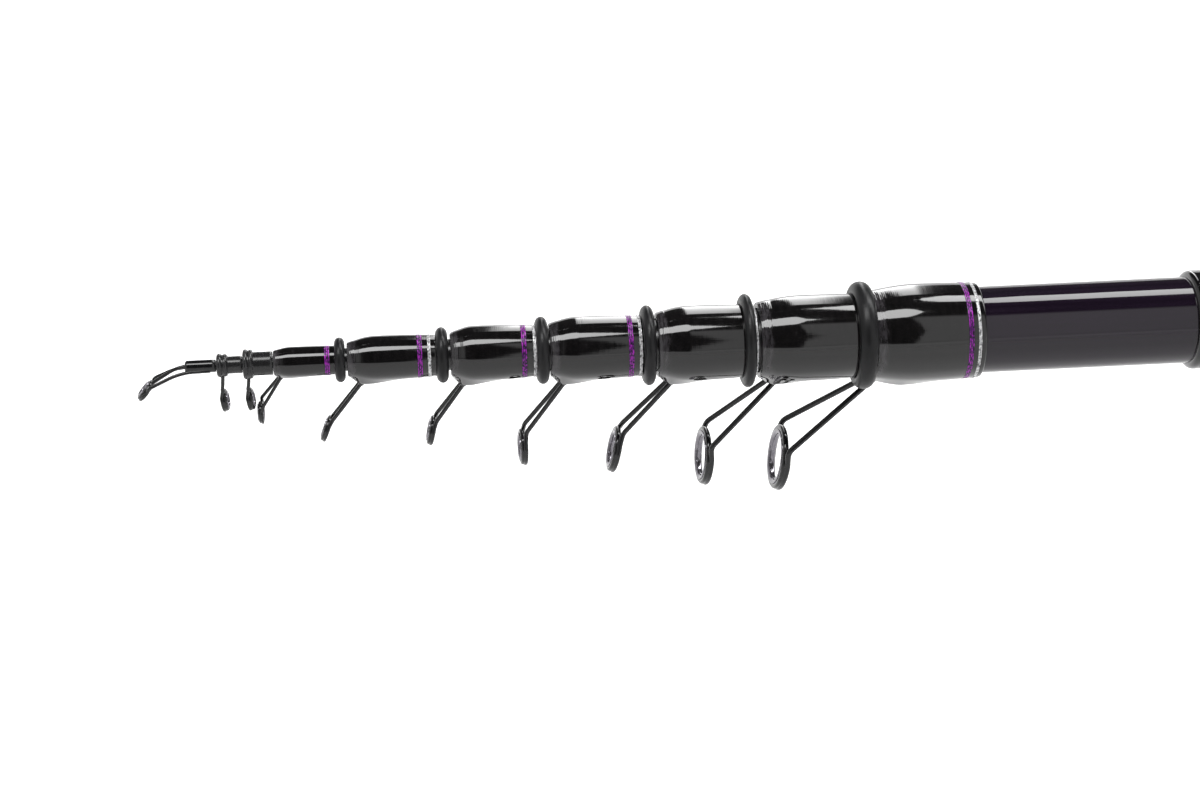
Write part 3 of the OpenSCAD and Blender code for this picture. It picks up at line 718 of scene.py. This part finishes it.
# Black clear-coated carbon with fine rings left by grinding
GROUND_BLANK = plain("ground_blank", (700, 3, (3, 0.05, 0.05)),
                     ((0.3, (0.004, 0.004, 0.0045)), (0.7, (0.012, 0.011, 0.013))),
                     (0.2, 0.42), 0.000006, Coat_Weight=0.6, Coat_Roughness=0.08)
THREAD_LACQUER = thread_lacquer()
PURPLE_THREAD = purple_thread()
# Bright silver braid, dark in the gaps between its turns
SILVER_BRAID = plain("silver_braid", (1700, 3, (1.4, 1, 1)),
                     ((0.34, (0.04, 0.04, 0.042)), (0.48, (0.5, 0.5, 0.51)), (0.66, (0.85, 0.85, 0.85))),
                     (0.5, 0.25), 0.00004, Metallic=0.3)
# Dark plated steel wire, glossy with dull specks
GUIDE_METAL = plain("guide_metal", (1600, 3),
                    ((0.3, (0.002, 0.002, 0.0024)), (0.75, (0.008, 0.008, 0.009))), (0.16, 0.34), 0.000004,
                    Metallic=0.1, Coat_Weight=1.0, Coat_Roughness=0.02, Specular_IOR_Level=0.1)
# Dark polished ceramic with a fine uneven grey
POLISHED_INSERT = plain("polished_insert", (900, 3),
                        ((0.3, (0.2, 0.19, 0.215)), (0.75, (0.32, 0.305, 0.335))), (0.06, 0.16), 0,
                        Metallic=0.85, Coat_Weight=0.4, Coat_Roughness=0.03)
BUMPER_RUBBER = rubber("bumper_rubber", (0.006, 0.006, 0.0066), (0.013, 0.013, 0.014), 2200, 0.26)
PAD_RUBBER = rubber("pad_rubber", (0.012, 0.012, 0.0125), (0.026, 0.026, 0.027), 1800, 0.4)
SLIDER_PLASTIC = moulded("slider_plastic", (0.008, 0.008, 0.0085), (0.018, 0.018, 0.019), 0.16, 0.6)
SEAT_PLASTIC = moulded("seat_plastic", (0.009, 0.009, 0.0095), (0.02, 0.02, 0.021), 0.3, 0.1)
HOOD_METAL = brushed("hood_metal", (0.1, 0.1, 0.105), (0.2, 0.2, 0.21), (0.03, 1, 1))
PIN_STEEL = brushed("pin_steel", (0.4, 0.4, 0.41), (0.6, 0.6, 0.61), (1, 0.05, 1))
INSERT_METAL = brushed("insert_metal", (0.4, 0.4, 0.41), (0.62, 0.62, 0.63), (1, 0.05, 0.05))
CAP_METAL = brushed("cap_metal", (0.012, 0.012, 0.0135), (0.035, 0.035, 0.038), (1, 0.05, 0.05))
GRIP_SLEEVE = grip_sleeve()


# Blanks


def rod_tip():
    """The solid tip: a straight taper turned about the rod's axis, with broken edges."""
    x0, x1 = BLANK_SPAN[1]
    along = np.linspace(x0 + EDGE_BREAK, x1 - EDGE_BREAK, 60)
    front = [[0, x0], [blank_r(1, x0) - EDGE_BREAK, x0]]
    rear = [[blank_r(1, x1) - EDGE_BREAK, x1], [0, x1]]
    outline = np.concatenate([front, outline_of(blank_r(1, along), along), rear])
    piece("tip_taper", [turned(outline, around=64)], GROUND_BLANK, "tip", "tip_blank")


def section_tube(n):
    """A section's blank, turned about the rod's axis: along the taper and back along the bore."""
    x0, x1 = BLANK_SPAN[n]
    along = np.linspace(x0 + EDGE_BREAK, x1 - EDGE_BREAK, 40)
    ends = [[blank_r(n, x1) - EDGE_BREAK, x1], [blank_r(n, x1) - WALL[n], x1],
            [blank_r(n, x0) - WALL[n], x0], [blank_r(n, x0) - EDGE_BREAK, x0]]
    outline = np.concatenate([outline_of(blank_r(n, along), along), ends])
    material, slot = (PAINTED_BLANK, "blank") if n == BUTT else (GROUND_BLANK, "inner_blank")
    form = turned(outline, around=160)
    piece(f"section_{n}_tube", [form], material, BODY[n], f"section_{n}_blank")


# Wraps


def foot_hump(n, s, from_bottom, r):
    """The lacquer drawn over the guide's two wires, as a rise above the wrap's radius r.

    Across the rod it is the tight skin round the circle and two points under it, at the hump's half
    angle to each side of the bottom: a chord between the points, then a straight line from each point
    to where it touches the circle. Along the rod the points rise to where the wires come out, and sink
    behind it. Each point is then the mean of its neighbours round the rod.
    """
    half = np.radians(HUMP_TURN)
    sink = np.clip(1 - (s - HUMP_AT[n]) / HUMP_FALL[n], 0, 1) ** HUMP_SINK_POWER
    point = r + HUMP[n] * (smooth(HUMP_FROM[n], HUMP_AT[n], s) * sink)
    touch = half + np.arccos(np.clip(r / point, -1, 1))
    chord = point * np.cos(half) / np.cos(np.minimum(from_bottom, half))
    side = r / np.cos(np.clip(touch - from_bottom, 0, touch - half))
    skin = np.where(from_bottom < half, chord, np.where(from_bottom < touch, side, r)) - r
    shifts = range(-HUMP_EVEN, HUMP_EVEN + 1)
    return sum(np.roll(skin, k, axis=1) for k in shifts) / len(shifts)


def wrap_rise(n, s, turn, r):
    """What stands on a wrap's turned form of radius r, at a distance behind its front and a turn.

    A flat lip with a groove behind it runs round the front. Under the rod lies the hump over the
    guide's wires. A bowl, one less the two squared distances, is sunk to each side of the foot on
    the larger sections.
    """
    from_bottom = np.abs(turn - np.pi)
    sink_from, sink_to = (LIP_W[n] + place for place in LIP_SINK)
    lip = smooth(*LIP_RISE, s) * (1 - smooth(sink_from, sink_to, s))
    groove = GROOVE_SHARE * bell(s, sink_to, GROOVE_W)
    height = LIP_H[n] * (lip - groove) + foot_hump(n, s, from_bottom, r)
    if n not in DIMPLE_AT:
        return height
    away = (from_bottom - np.radians(DIMPLE_TURN)) * FRONT_D[n] / 2
    near = np.clip(1 - ((s - DIMPLE_AT[n]) / DIMPLE_LONG) ** 2 - (away / DIMPLE_WIDE) ** 2, 0, 1)
    return height - DIMPLE_DEEP[n] * near


def section_wrap(n):
    """A lacquered wrap: its radius over its length and turn, with rounded ends and a bore."""
    length = WRAP_LEN[n]
    x0 = BLANK_SPAN[n][0]
    around = 400 if n in DIMPLE_AT else 288
    body = length - WRAP_END_ROUND
    s = np.concatenate([np.linspace(WRAP_FRONT_ROUND, 4, 44), np.linspace(4.1, body, int(5 * body))])
    s = s[:, None]
    r = wrap_r(n, s) * np.ones((1, around))
    r = r + wrap_rise(n, s, round_turn(around)[None, :], r)
    core = blank_r(n, x0 + WRAP_FRONT_ROUND) + FIT
    lip = np.radians(np.linspace(0, 90, 6))[:-1, None]
    lip_r = core + (r[:1] - core) * (WRAP_FRONT_STEP + (1 - WRAP_FRONT_STEP) * np.sin(lip))
    lip_s = WRAP_FRONT_ROUND * (1 - np.cos(lip))
    rear_core = blank_r(n, x0 + length) + FIT
    end = np.radians(np.linspace(0, 90, 7))[1:, None]
    end_r = rear_core + (r[-1:] - rear_core) * (WRAP_END_STEP + (1 - WRAP_END_STEP) * np.cos(end))
    end_s = body + WRAP_END_ROUND * np.sin(end)
    bore_r = np.full((2, around), [[rear_core], [core]])
    radius = np.concatenate([lip_r, r, end_r, bore_r])
    place = np.concatenate([lip_s, s, end_s, [[length], [0.0]]])
    rows = np.append(place, place[0]) / length
    form = turned(outline_of(radius, place + x0), around=around, rows=rows)
    piece(f"section_{n}_lacquer", [form], THREAD_LACQUER, BODY[n], f"section_{n}_wrap", 60)


def purple_band(n):
    """The purple thread of a wrap: round strands, the lift is the sine of as many half turns."""
    s0 = WRAP_LEN[n] - PURPLE_OFF - PURPLE_W / 2 + PURPLE_SHIFT[n]
    s1 = s0 + PURPLE_W
    x0 = BLANK_SPAN[n][0]
    u = np.linspace(0, 1, 41)
    s = np.linspace(s0, s1, len(u))
    lift = 0.015 + 0.022 * np.abs(np.sin(PURPLE_STRANDS * np.pi * u))
    back = wrap_r(n, s1) - BAND_DEPTH
    crown = outline_of(wrap_r(n, s) + lift, x0 + s)
    outline = np.concatenate([[[back, x0 + s0]], crown, [[back, x0 + s1]]])
    form = turned(outline, around=192, rows=np.concatenate([[0], u, [1, 0]]))
    piece(f"section_{n}_purple_thread", [form], PURPLE_THREAD, BODY[n],
          f"section_{n}_bands", 75)


def silver_band(n):
    """The silver braid of a wrap: cords whose lift also follows their twist round the rod."""
    length = WRAP_LEN[n]
    s0 = length - SILVER_OFF - SILVER_W / 2 + SILVER_SHIFT[n]
    around = 640
    u = np.linspace(0, 1, 21)[:, None]
    twists = round(np.pi * FRONT_D[n] / SILVER_TWIST)
    cords = 0.05 * np.abs(np.sin(SILVER_CORDS * np.pi * u))
    lift = 0.03 + cords + 0.02 * np.sin(twists * round_turn(around)[None, :] + SILVER_LAG * u)
    crown = wrap_r(n, np.clip(s0 + SILVER_W * u, 0, length)) + lift
    back = np.full((1, around), wrap_r(n, length) - BAND_DEPTH)
    place = BLANK_SPAN[n][0] + s0 + SILVER_W * np.concatenate([[[0]], u, [[1]]])
    outline = outline_of(np.concatenate([back, crown, back]), place)
    form = turned(outline, around=around, rows=np.concatenate([[0], u[:, 0], [1, 0]]))
    piece(f"section_{n}_silver_braid", [form], SILVER_BRAID, BODY[n],
          f"section_{n}_bands", 75)


def section_bumper(n):
    """A rubber bumper: a half ellipse with straight sides and a flat bore, turned about the rod's axis."""
    size = BUMPER_SIZE[n]
    cover = BUMPER_COVER[n]
    x0 = BLANK_SPAN[n][0] + WRAP_LEN[n] - cover
    under = float(wrap_r(n, WRAP_LEN[n] - cover)) if cover > 0 else blank_r(n, x0 + size)
    r_in = under + BUMPER_FIT
    r_out = FRONT_D[n] / 2 + size
    width = size * BUMPER_WIDTH_SHARE[n]
    middle = x0 + BUMPER_SHIFT[n] + width / 2
    round_r = max(r_in + BUMPER_SIDE * (r_out - r_in), r_out - BUMPER_ROUND * width)
    outside = arc((round_r, middle), (r_out - round_r, width / 2), -90, 90, 32)
    edge = BUMPER_EDGE * width
    land = BUMPER_BORE * width
    bore = [[r_in + BUMPER_BREAK, middle + edge], [r_in, middle + land],
            [r_in, middle - land], [r_in + BUMPER_BREAK, middle - edge]]
    form = turned(np.concatenate([outside, bore]), around=160)
    piece(f"section_{n}_stop_ring", [form], BUMPER_RUBBER, BODY[n], f"section_{n}_bumper")


# Guides

# A guide's ring: the section whose sizes it has, its diameter, its middle and its tilt
Ring = namedtuple("Ring", "n d centre tilt")


def ring_point(ring, r, turn):
    """Points of a ring's plane, at a radius and at turns from the ring's top in degrees."""
    top, side = ring_axes(ring.tilt)[1:]
    turn = np.radians(turn)[..., None]
    return ring.centre + r * (np.cos(turn) * top + np.sin(turn) * side)


def ring_frame(ring):
    """A guide's ring frame: a band with well rounded outer edges, turned about the ring's axis."""
    r_out = ring.d / 2
    r_in = r_out - FRAME_WALL[ring.n] + FRAME_BREAK
    half = FRAME_T[ring.n] / 2
    edge = FRAME_ROUND * FRAME_T[ring.n]
    outline = np.concatenate([
        arc((r_in, half - FRAME_BREAK), FRAME_BREAK, 90, 180, 4),
        arc((r_in, FRAME_BREAK - half), FRAME_BREAK, 180, 270, 4),
        arc((r_out - edge, edge - half), edge, -90, 0),
        arc((r_out - edge, half - edge), edge, 0, 90),
    ])
    return turned(outline, ring.centre, ring.tilt, 96)


def ring_insert(ring):
    """A polished insert: a straight land in its bore and quarter-ellipse lips, turned about its axis."""
    r_out = ring.d / 2 - FRAME_WALL[ring.n] - FIT
    thick = INSERT_WALL[ring.n]
    deep = FRAME_T[ring.n] / 2
    half = deep + INSERT_PROUD
    land = INSERT_LAND * half
    radii = (thick * INSERT_LIP, half - land)
    lip_r = r_out - thick + radii[0]
    shoulder = half - INSERT_SHOULDER
    outline = np.concatenate([
        arc((lip_r, land), radii, 90, 180, 12),
        arc((lip_r, -land), radii, 180, 270, 12),
        [[r_out - FIT, -shoulder], [r_out, -deep], [r_out, deep], [r_out - FIT, shoulder]],
    ])
    return turned(outline, ring.centre, ring.tilt, 96)


def guide_pieces(stem, nodes, body, forms, ring):
    """A guide's wires with its ring frame, and its polished insert."""
    forms = forms + [ring_frame(ring)]
    piece(f"{stem}_wires", forms, GUIDE_METAL, body, f"{nodes}_frame", 60)
    piece(f"{stem}_insert", [ring_insert(ring)], POLISHED_INSERT, body, f"{nodes}_ring")


def legs(ring, d, turn, stand_off, roots, reaches, behind, backs=(0, 0)):
    """A guide's two wires from their roots to their bends beside a ring, then round it; and the bends.

    A bend lies at a turn from the ring's top, some wires out from the frame and back from its plane.
    Round the ring a wire lies behind the frame, or before it where that distance is negative, on a
    circle of a quarter of a wire less than the frame.
    """
    axis = ring_axes(ring.tilt)[0]
    turns = np.linspace(turn + LEG_RUN_TURN, LEG_LAST_TURN, 16)
    wires = []
    bends = []
    for side, back in zip((-1, 1), backs):
        bend = ring_point(ring, ring.d / 2 + stand_off * d, side * turn) + back * d * axis
        loop = ring_point(ring, ring.d / 2 - LEG_INSET * d, side * turns) + behind * FRAME_T[ring.n] * axis
        leg = bent(np.concatenate([np.asarray(roots) * (1, side, 1), [bend], loop[:1]]), reaches)
        thin = np.concatenate([np.ones(len(leg) - 1), np.linspace(1, LEG_END_THIN, len(loop))])
        wires.append(wire(np.concatenate([leg, loop[1:]]), d / 2 * thin))
        bends.append(bend)
    return wires, bends


def root_drop(n, knee, bend):
    """The lacquer that ran down a wire where it leaves the wrap: a long ellipsoid about the wire.

    Its middle is the first point of the straight run from the knee to the bend that lies under the wrap.
    """
    d = WIRE_D[n]
    run = knee + np.linspace(0, 1, 200)[:, None] * (bend - knee)
    s = run[:, 0] - BLANK_SPAN[n][0]
    r = wrap_r(n, np.maximum(s, 0))[:, None]
    under = r[:, 0] + foot_hump(n, s[:, None], np.zeros((1, 1)), r)[:, 0]
    middle = run[np.argmax(-run[:, 2] > under)]
    lean = -np.degrees(np.arctan2(knee[2] - bend[2], knee[0] - bend[0]))
    egg = arc((0, 0), (DROP_WIDE * d, DROP_LONG * d), -90, 90, 16)
    return turned(egg, middle, (lean, 0), 32)


def section_guide(n):
    """A two-legged guide: two bent wires from the foot under the wrap, the ring frame and its insert."""
    d = WIRE_D[n]
    x0 = BLANK_SPAN[n][0]
    ring = Ring(n, RING_D[n], (x0 - RING_LEAD[n], 0, -RING_DROP[n]), RING_TILT[n])
    knee_x = x0 + KNEE[n]
    foot_z = -blank_r(n, knee_x + FOOT_LEN) - FIT
    foot = (knee_x + FOOT_SHARE * FOOT_LEN, d / 2, foot_z - d / 2)
    knee = (knee_x, KNEE_SPREAD * d, foot_z - KNEE_SINK * d)
    wires, bends = legs(ring, d, LEG_TURN[n], LEG_STAND_OFF[n], (foot, knee),
                        (KNEE_REACH * d, LEG_REACH[n] * d), LEG_BEHIND[n], LEG_BACK[n])
    if n in DROPS:
        knees = [np.asarray(knee) * (1, side, 1) for side in (-1, 1)]
        drops = [root_drop(n, *ends) for ends in zip(knees, bends)]
        piece(f"section_{n}_root_lacquer", drops, THREAD_LACQUER, BODY[n],
              f"section_{n}_wrap", 60)
    guide_pieces(f"section_{n}_guide", f"section_{n}_guide", BODY[n], wires, ring)


def sliding_guide(k):
    """A sliding guide: a sleeve with a collar of two beads, two short wires, a ring and its insert."""
    name = f"slider_{k}"
    x0, x2 = span(f"{name}_sleeve")
    w = COLLAR_LEN[k]
    x1 = x0 + w
    r = COLLAR_D[k] / 2
    bore = SLEEVE_BORE[k]
    tube = SLEEVE_D[k] / 2
    beads = [arc((r - deep, x0 + at * w), (high, half * w), start, end, 12)
             for deep, high, at, half, start, end in BEADS]
    outline = np.concatenate([
        [[bore, x2 - SLEEVE_BREAK], [bore, x0 + SLEEVE_BREAK], [bore + SLEEVE_BREAK, x0]],
        *beads,
        [[tube + 0.08, x1 + 0.02], [tube, x1 + 0.12]],
        outline_of(tube, np.linspace(x1 + 0.2, x2 - 0.15, 10)),
        [[tube - SLEEVE_BREAK, x2], [bore + SLEEVE_BREAK, x2]],
    ])
    form = turned(outline, around=96)
    piece(f"{name}_collar", [form], SLIDER_PLASTIC, name, f"{name}_sleeve")
    d = WIRE_D[2]
    ring = Ring(2, SLIDER_RING_D, (x0 + w / 2, 0, -SLIDER_RING_DROP), SLIDER_TILT)
    root = (ring.centre[0], KNEE_SPREAD * d, d - r)
    reaches = (SLIDER_REACH * d,)
    wires = legs(ring, d, SLIDER_LEG_TURN, SLIDER_STAND_OFF, (root,), reaches, SLIDER_BEHIND)[0]
    guide_pieces(f"{name}_guide", name, name, wires, ring)


def tip_top():
    """The tip-top: a tube with a rounded nose, two wires along its lower sides, a brace and a ring."""
    x1 = span("slider_1_sleeve")[0] - 0.2
    x0 = x1 - TOP_TUBE_LEN
    r = TOP_TUBE_D / 2
    bore_x = x0 + TOP_BORE_FROM
    bore = blank_r(1, bore_x) + 0.04
    outline = np.concatenate([
        [[0, x0 - 0.05]],
        arc((r - TOP_NOSE, x0 - 0.05 + TOP_NOSE), TOP_NOSE, -90, 0),
        outline_of(r, np.linspace(x0 + 0.8, x1 - 0.15, 8)),
        [[r - 0.12, x1], [bore + 0.25, x1], [bore, bore_x], [0, bore_x]],
    ])
    ring = Ring(2, TOP_RING_D, (x0 - TOP_RING_LEAD, 0, -TOP_RING_DROP), TOP_TILT)
    brace = [*(np.asarray(TOP_BRACE) + (x0, 0, 0)), ring_point(ring, TOP_RING_D / 2 - 0.2, 0.0)]
    forms = [turned(outline, around=64), wire(bent(brace, [TOP_BRACE_REACH]), TOP_WIRE_D / 2)]
    roots = np.asarray(TOP_ROOTS) + (x0, 0, 0)
    wires = legs(ring, TOP_WIRE_D, TOP_LEG_TURN, TOP_STAND_OFF, roots, TOP_REACHES, TOP_BEHIND)[0]
    guide_pieces("tip_top", "tip_top", "tip", forms + wires, ring)


# Reel seat and butt


def seat_whippings():
    """The two whippings over the seat's feet: bands with quarter-circle ends, turned about the axis."""
    low, high = span("seat_whippings")
    s = np.linspace(0, WHIPPING_LEN, 80)
    inward = np.clip(np.minimum(s, WHIPPING_LEN - s) / WHIPPING_ROUND, 0, 1)
    dome = np.sqrt(np.clip(1 - (1 - inward) ** 2, 0, 1))
    rows = np.concatenate([s / WHIPPING_LEN, [1, 0, 0]]) * 0.9 + 0.1
    forms = []
    for x0 in (low, high - WHIPPING_LEN):
        r = blank_r(BUTT, x0 + WHIPPING_LEN) + WHIPPING_RISE
        core = blank_r(BUTT, x0 + s) + FIT
        outside = outline_of(core + (r - core) * (WHIPPING_STEP + (1 - WHIPPING_STEP) * dome), x0 + s)
        inside = [[core[-1], x0 + WHIPPING_LEN], [core[0], x0]]
        forms.append(turned(np.concatenate([outside, inside]), around=192, rows=rows))
    piece("seat_thread", forms, THREAD_LACQUER, "butt", "seat_whippings", 60)


def butt_grip():
    """The grip: a sleeve with a soft rounded front that thins onto the blank, turned about the axis."""
    x0, x1 = span("grip")
    along = np.linspace(x0 + 0.01, x1 - GRIP_REAR_ROUND, 160)
    front = blank_r(BUTT, x0) + GRIP_FRONT_LIFT
    shape = front + (GRIP_R - front) * np.sqrt(smooth(0, GRIP_FRONT_RUN, along - x0))
    rear_middle = (GRIP_R - GRIP_REAR_ROUND, x1 - GRIP_REAR_ROUND)
    rear = arc(rear_middle, GRIP_REAR_ROUND, 0, 90, 6)[1:]
    inside = [[blank_r(BUTT, x1) + FIT, x1], [blank_r(BUTT, x0) + FIT, x0]]
    outline = np.concatenate([outline_of(shape, along), rear, inside])
    rows = np.append((outline[:, 1] - x0) / (x1 - x0), 0)
    form = turned(outline, around=192, rows=rows)
    piece("grip_rubber_sleeve", [form], GRIP_SLEEVE, "butt", "grip")


def butt_insert():
    """The threaded insert: a plain sleeve that fits the butt's taper, turned about the rod's axis."""
    x0, x1 = span("butt_insert")
    inset = WALL[BUTT] + FIT
    outline = [[BUTT_INSERT_R, x0], [blank_r(BUTT, x0) - inset, x0],
               [blank_r(BUTT, x1) - inset, x1], [BUTT_INSERT_R, x1]]
    piece("butt_thread_insert", [turned(outline)], INSERT_METAL, "butt", "butt_insert")


def butt_cap():
    """The cap: a spigot and a knob with a cup, whose radius dips by the clipped cosine of its flutes."""
    spigot, rear = span("butt_cap")
    front = BLANK_SPAN[BUTT][1] + FIT
    turn = round_turn(240)
    flute = np.clip(np.cos(CAP_FLUTES * turn) - CAP_FLUTE_CUT, 0, 1) / (1 - CAP_FLUTE_CUT)
    cup = rear - CAP_CUP_DEEP
    outline = np.concatenate([
        [[0, spigot], [SPIGOT_R - SPIGOT_BREAK, spigot], [SPIGOT_R, spigot + 0.4]],
        outline_of(SPIGOT_R, np.linspace(spigot + 1, front - 0.1, 6)),
        [[SPIGOT_R + 0.01, front]],
        arc((CAP_R - CAP_FRONT_ROUND, front + CAP_FRONT_ROUND), CAP_FRONT_ROUND, -90, 0, 6),
        outline_of(CAP_R, np.linspace(front + 0.6, rear - 1.3, 30)),
        arc((CAP_R - CAP_REAR_ROUND, rear - CAP_REAR_ROUND), CAP_REAR_ROUND, 0, 90),
        [[CAP_CUP_R + 0.02, rear], [CAP_CUP_R, rear - 0.1], [CAP_CUP_R, cup], [0, cup]],
    ])
    run = [front + place for place in CAP_FLUTE_RUN]
    reach = smooth(*run, outline[:, 1:]) * (outline[:, :1] > CAP_FLUTED_R)
    radius = outline[:, :1] - CAP_FLUTE_DEEP * reach * flute
    form = turned(outline_of(radius, outline[:, 1:]), around=len(turn))
    piece("butt_cap_knob", [form], CAP_METAL, "butt_cap", "butt_cap")


def butt_pad():
    """The pad: a disc with a rounded rim and two Gauss-shaped rings sunk in its face."""
    x0, x1 = span("butt_pad")
    r = np.linspace(PAD_R, 0, 60)
    face = outline_of(r, x1 - sum(PAD_RING_DEEP * bell(r, at, PAD_RING_W) for at in PAD_RINGS))
    rim = arc((PAD_R, x1 - PAD_ROUND), PAD_ROUND, 0, 90, 6)[:-1]
    outline = np.concatenate([[[0, x0], [PAD_R + PAD_ROUND, x0]], rim, face])
    piece("butt_pad_face", [turned(outline)], PAD_RUBBER, "butt_cap", "butt_pad")


def soften(node, width, material):
    """A solid keeps its shape and gets small rounded edges and its finish."""
    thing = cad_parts[node]
    weld = thing.modifiers.new("weld", "WELD")
    weld.merge_threshold = 0.000002
    edge = thing.modifiers.new("edge", "BEVEL")
    edge.width = width * MM
    edge.segments = 3
    edge.limit_method = "ANGLE"
    edge.angle_limit = np.radians(35)
    thing.data.materials.clear()
    thing.data.materials.append(material)


def dress_rod():
    """Every piece of the rod, from the tip to the butt."""
    rod_tip()
    tip_top()
    for k in (1, 2):
        sliding_guide(k)
    for n in SECTIONS:
        section_tube(n)
        section_wrap(n)
        purple_band(n)
        silver_band(n)
        section_guide(n)
    for n in INNER_SECTIONS:
        section_bumper(n)
    seat_whippings()
    butt_grip()
    butt_insert()
    butt_cap()
    butt_pad()
    soften("seat_base", 0.3, SEAT_PLASTIC)
    soften("fixed_hood", 0.25, HOOD_METAL)
    soften("slide_hood", 0.25, HOOD_METAL)
    soften("lock_lever", 0.3, SEAT_PLASTIC)
    soften("lever_pin", 0.15, PIN_STEEL)


# Studio


def pale_floor():
    """A wide flat floor that shows white and keeps a soft shadow: a plane of square cells."""
    count = FLOOR_CELLS + 1
    ticks = np.linspace(-FLOOR_HALF, FLOOR_HALF, count)
    x, y = np.meshgrid(ticks, ticks, indexing="ij")
    points = np.stack([x, y, np.full_like(x, FLOOR_Z)], axis=-1).reshape(-1, 3) * MM
    corner = (np.arange(FLOOR_CELLS)[:, None] * count + np.arange(FLOOR_CELLS)).reshape(-1)
    quads = np.stack([corner, corner + count, corner + count + 1, corner + 1], axis=-1)
    mesh = bpy.data.meshes.new("floor")
    mesh.from_pydata(points.tolist(), [], quads.tolist())
    material, tree, shader = finish("floor_white", Roughness=0.9, Specular_IOR_Level=0.1)
    paint(shader, noise(tree, 3, 2), (0.3, (0.7, 0.7, 0.7)), (0.7, (0.73, 0.73, 0.73)))
    path = put(tree, "LightPath")
    seen = math("MAXIMUM", path.outputs["Is Camera Ray"], path.outputs["Is Transmission Ray"])
    shader.inputs["Emission Color"].default_value = (1, 1, 1, 1)
    link(product(seen, FLOOR_GLOW), shader, "Emission Strength")
    mesh.materials.append(material)
    floor = placed("floor", mesh)


def studio_world():
    """White to the eye; for light and reflections a pale ground, a dark room and five soft boxes.

    The boxes are drawn by the angle round the rod, in radians from the horizon before it over its
    top to the horizon behind it, and by the direction's part along the rod. The one over the rod
    narrows to a point, the one behind it starts as a ragged wedge with a short low one beside it, the
    large dim one before it starts with a ragged notch, and a dim one stands ahead of the tip.
    """
    world = bpy.data.worlds.new("studio")
    bpy.context.scene.world = world
    world.use_nodes = True
    tree = world.node_tree
    tree.nodes.clear()
    x, y, z = parts_of(tree, "Generated")
    angle = math("ARCTAN2", z, product(y, -1.0))
    ground = soft(z, 0.08, 0.14, GROUND_LIGHT, ROOM_LIGHT)
    ragged = scaled(noise(tree, 26, 3, source="Generated"), -RAGGED, RAGGED)
    butt_end = soft(x, 0.95, 0.8)

    narrowing = math("POWER", straight(x, 0.0, OVER_POINT), OVER_POWER)
    half = scaled(narrowing, OVER_HALF, 0.0)
    over = math("SUBTRACT", half, off_from(angle, OVER_ANGLE))
    over = product(soft(over, 0.0, BOX_EDGE), soft(x, -0.6, -0.45), OVER_LIGHT)

    half = total(straight(x, 0.16, 0.24, 0.0, BEHIND_HALF), ragged)
    behind = math("SUBTRACT", half, off_from(angle, BEHIND_ANGLE))
    behind = product(soft(behind, 0.0, BOX_EDGE), butt_end, BEHIND_LIGHT)

    low_behind = product(soft(angle, 2.27, 2.33), soft(x, 0.04, 0.085),
                         soft(x, 0.22, 0.16), LOW_BEHIND_LIGHT)

    notch = product(off_from(angle, NOTCH_ANGLE), NOTCH_SLOPE)
    edge = total(x, notch, ragged)
    before = product(soft(edge, 0.16, 0.21), soft(angle, 0.02, 0.2),
                     soft(angle, 1.25, 1.12), butt_end, BEFORE_LIGHT)

    ahead = product(soft(x, -0.38, -0.55), soft(z, 0.1, 0.2), AHEAD_LIGHT)

    light = total(ground, over, behind, low_behind, before, ahead)
    eye = put(tree, "LightPath").outputs["Is Camera Ray"]
    unseen = product(light, math("SUBTRACT", 1.0, eye))
    strength = total(unseen, eye)
    back = put(tree, "Background", {"Color": (1, 1, 1, 1), "Strength": strength})
    put(tree, "OutputWorld", {"Surface": back.outputs[0]})


def photo_camera():
    """The camera: seen from the side and above, the open end of the rod at the left."""
    azimuth, elevation = np.radians((CAMERA_AZIMUTH, CAMERA_ELEVATION))
    level = np.array([-np.sin(azimuth), np.cos(azimuth), 0])
    ahead = np.cos(elevation) * level - np.sin(elevation) * np.array([0, 0, 1])
    right = np.array([np.cos(azimuth), np.sin(azimuth), 0])
    up = np.cross(right, ahead)
    spot = np.array(CAMERA_AIM) - CAMERA_DROP * up - CAMERA_FAR * ahead
    lens = bpy.data.cameras.new("camera")
    lens.lens = LENS
    lens.sensor_width = SENSOR_W
    lens.clip_start = 0.01
    camera = placed("camera", lens)
    turn = Matrix(np.stack([right, up, -ahead], axis=-1).tolist()).to_4x4()
    camera.matrix_world = Matrix.Translation(spot.tolist()) @ turn
    bpy.context.scene.camera = camera


photo_camera()
dress_rod()
pale_floor()
studio_world()

bpy.context.scene.view_settings.view_transform = "Standard"
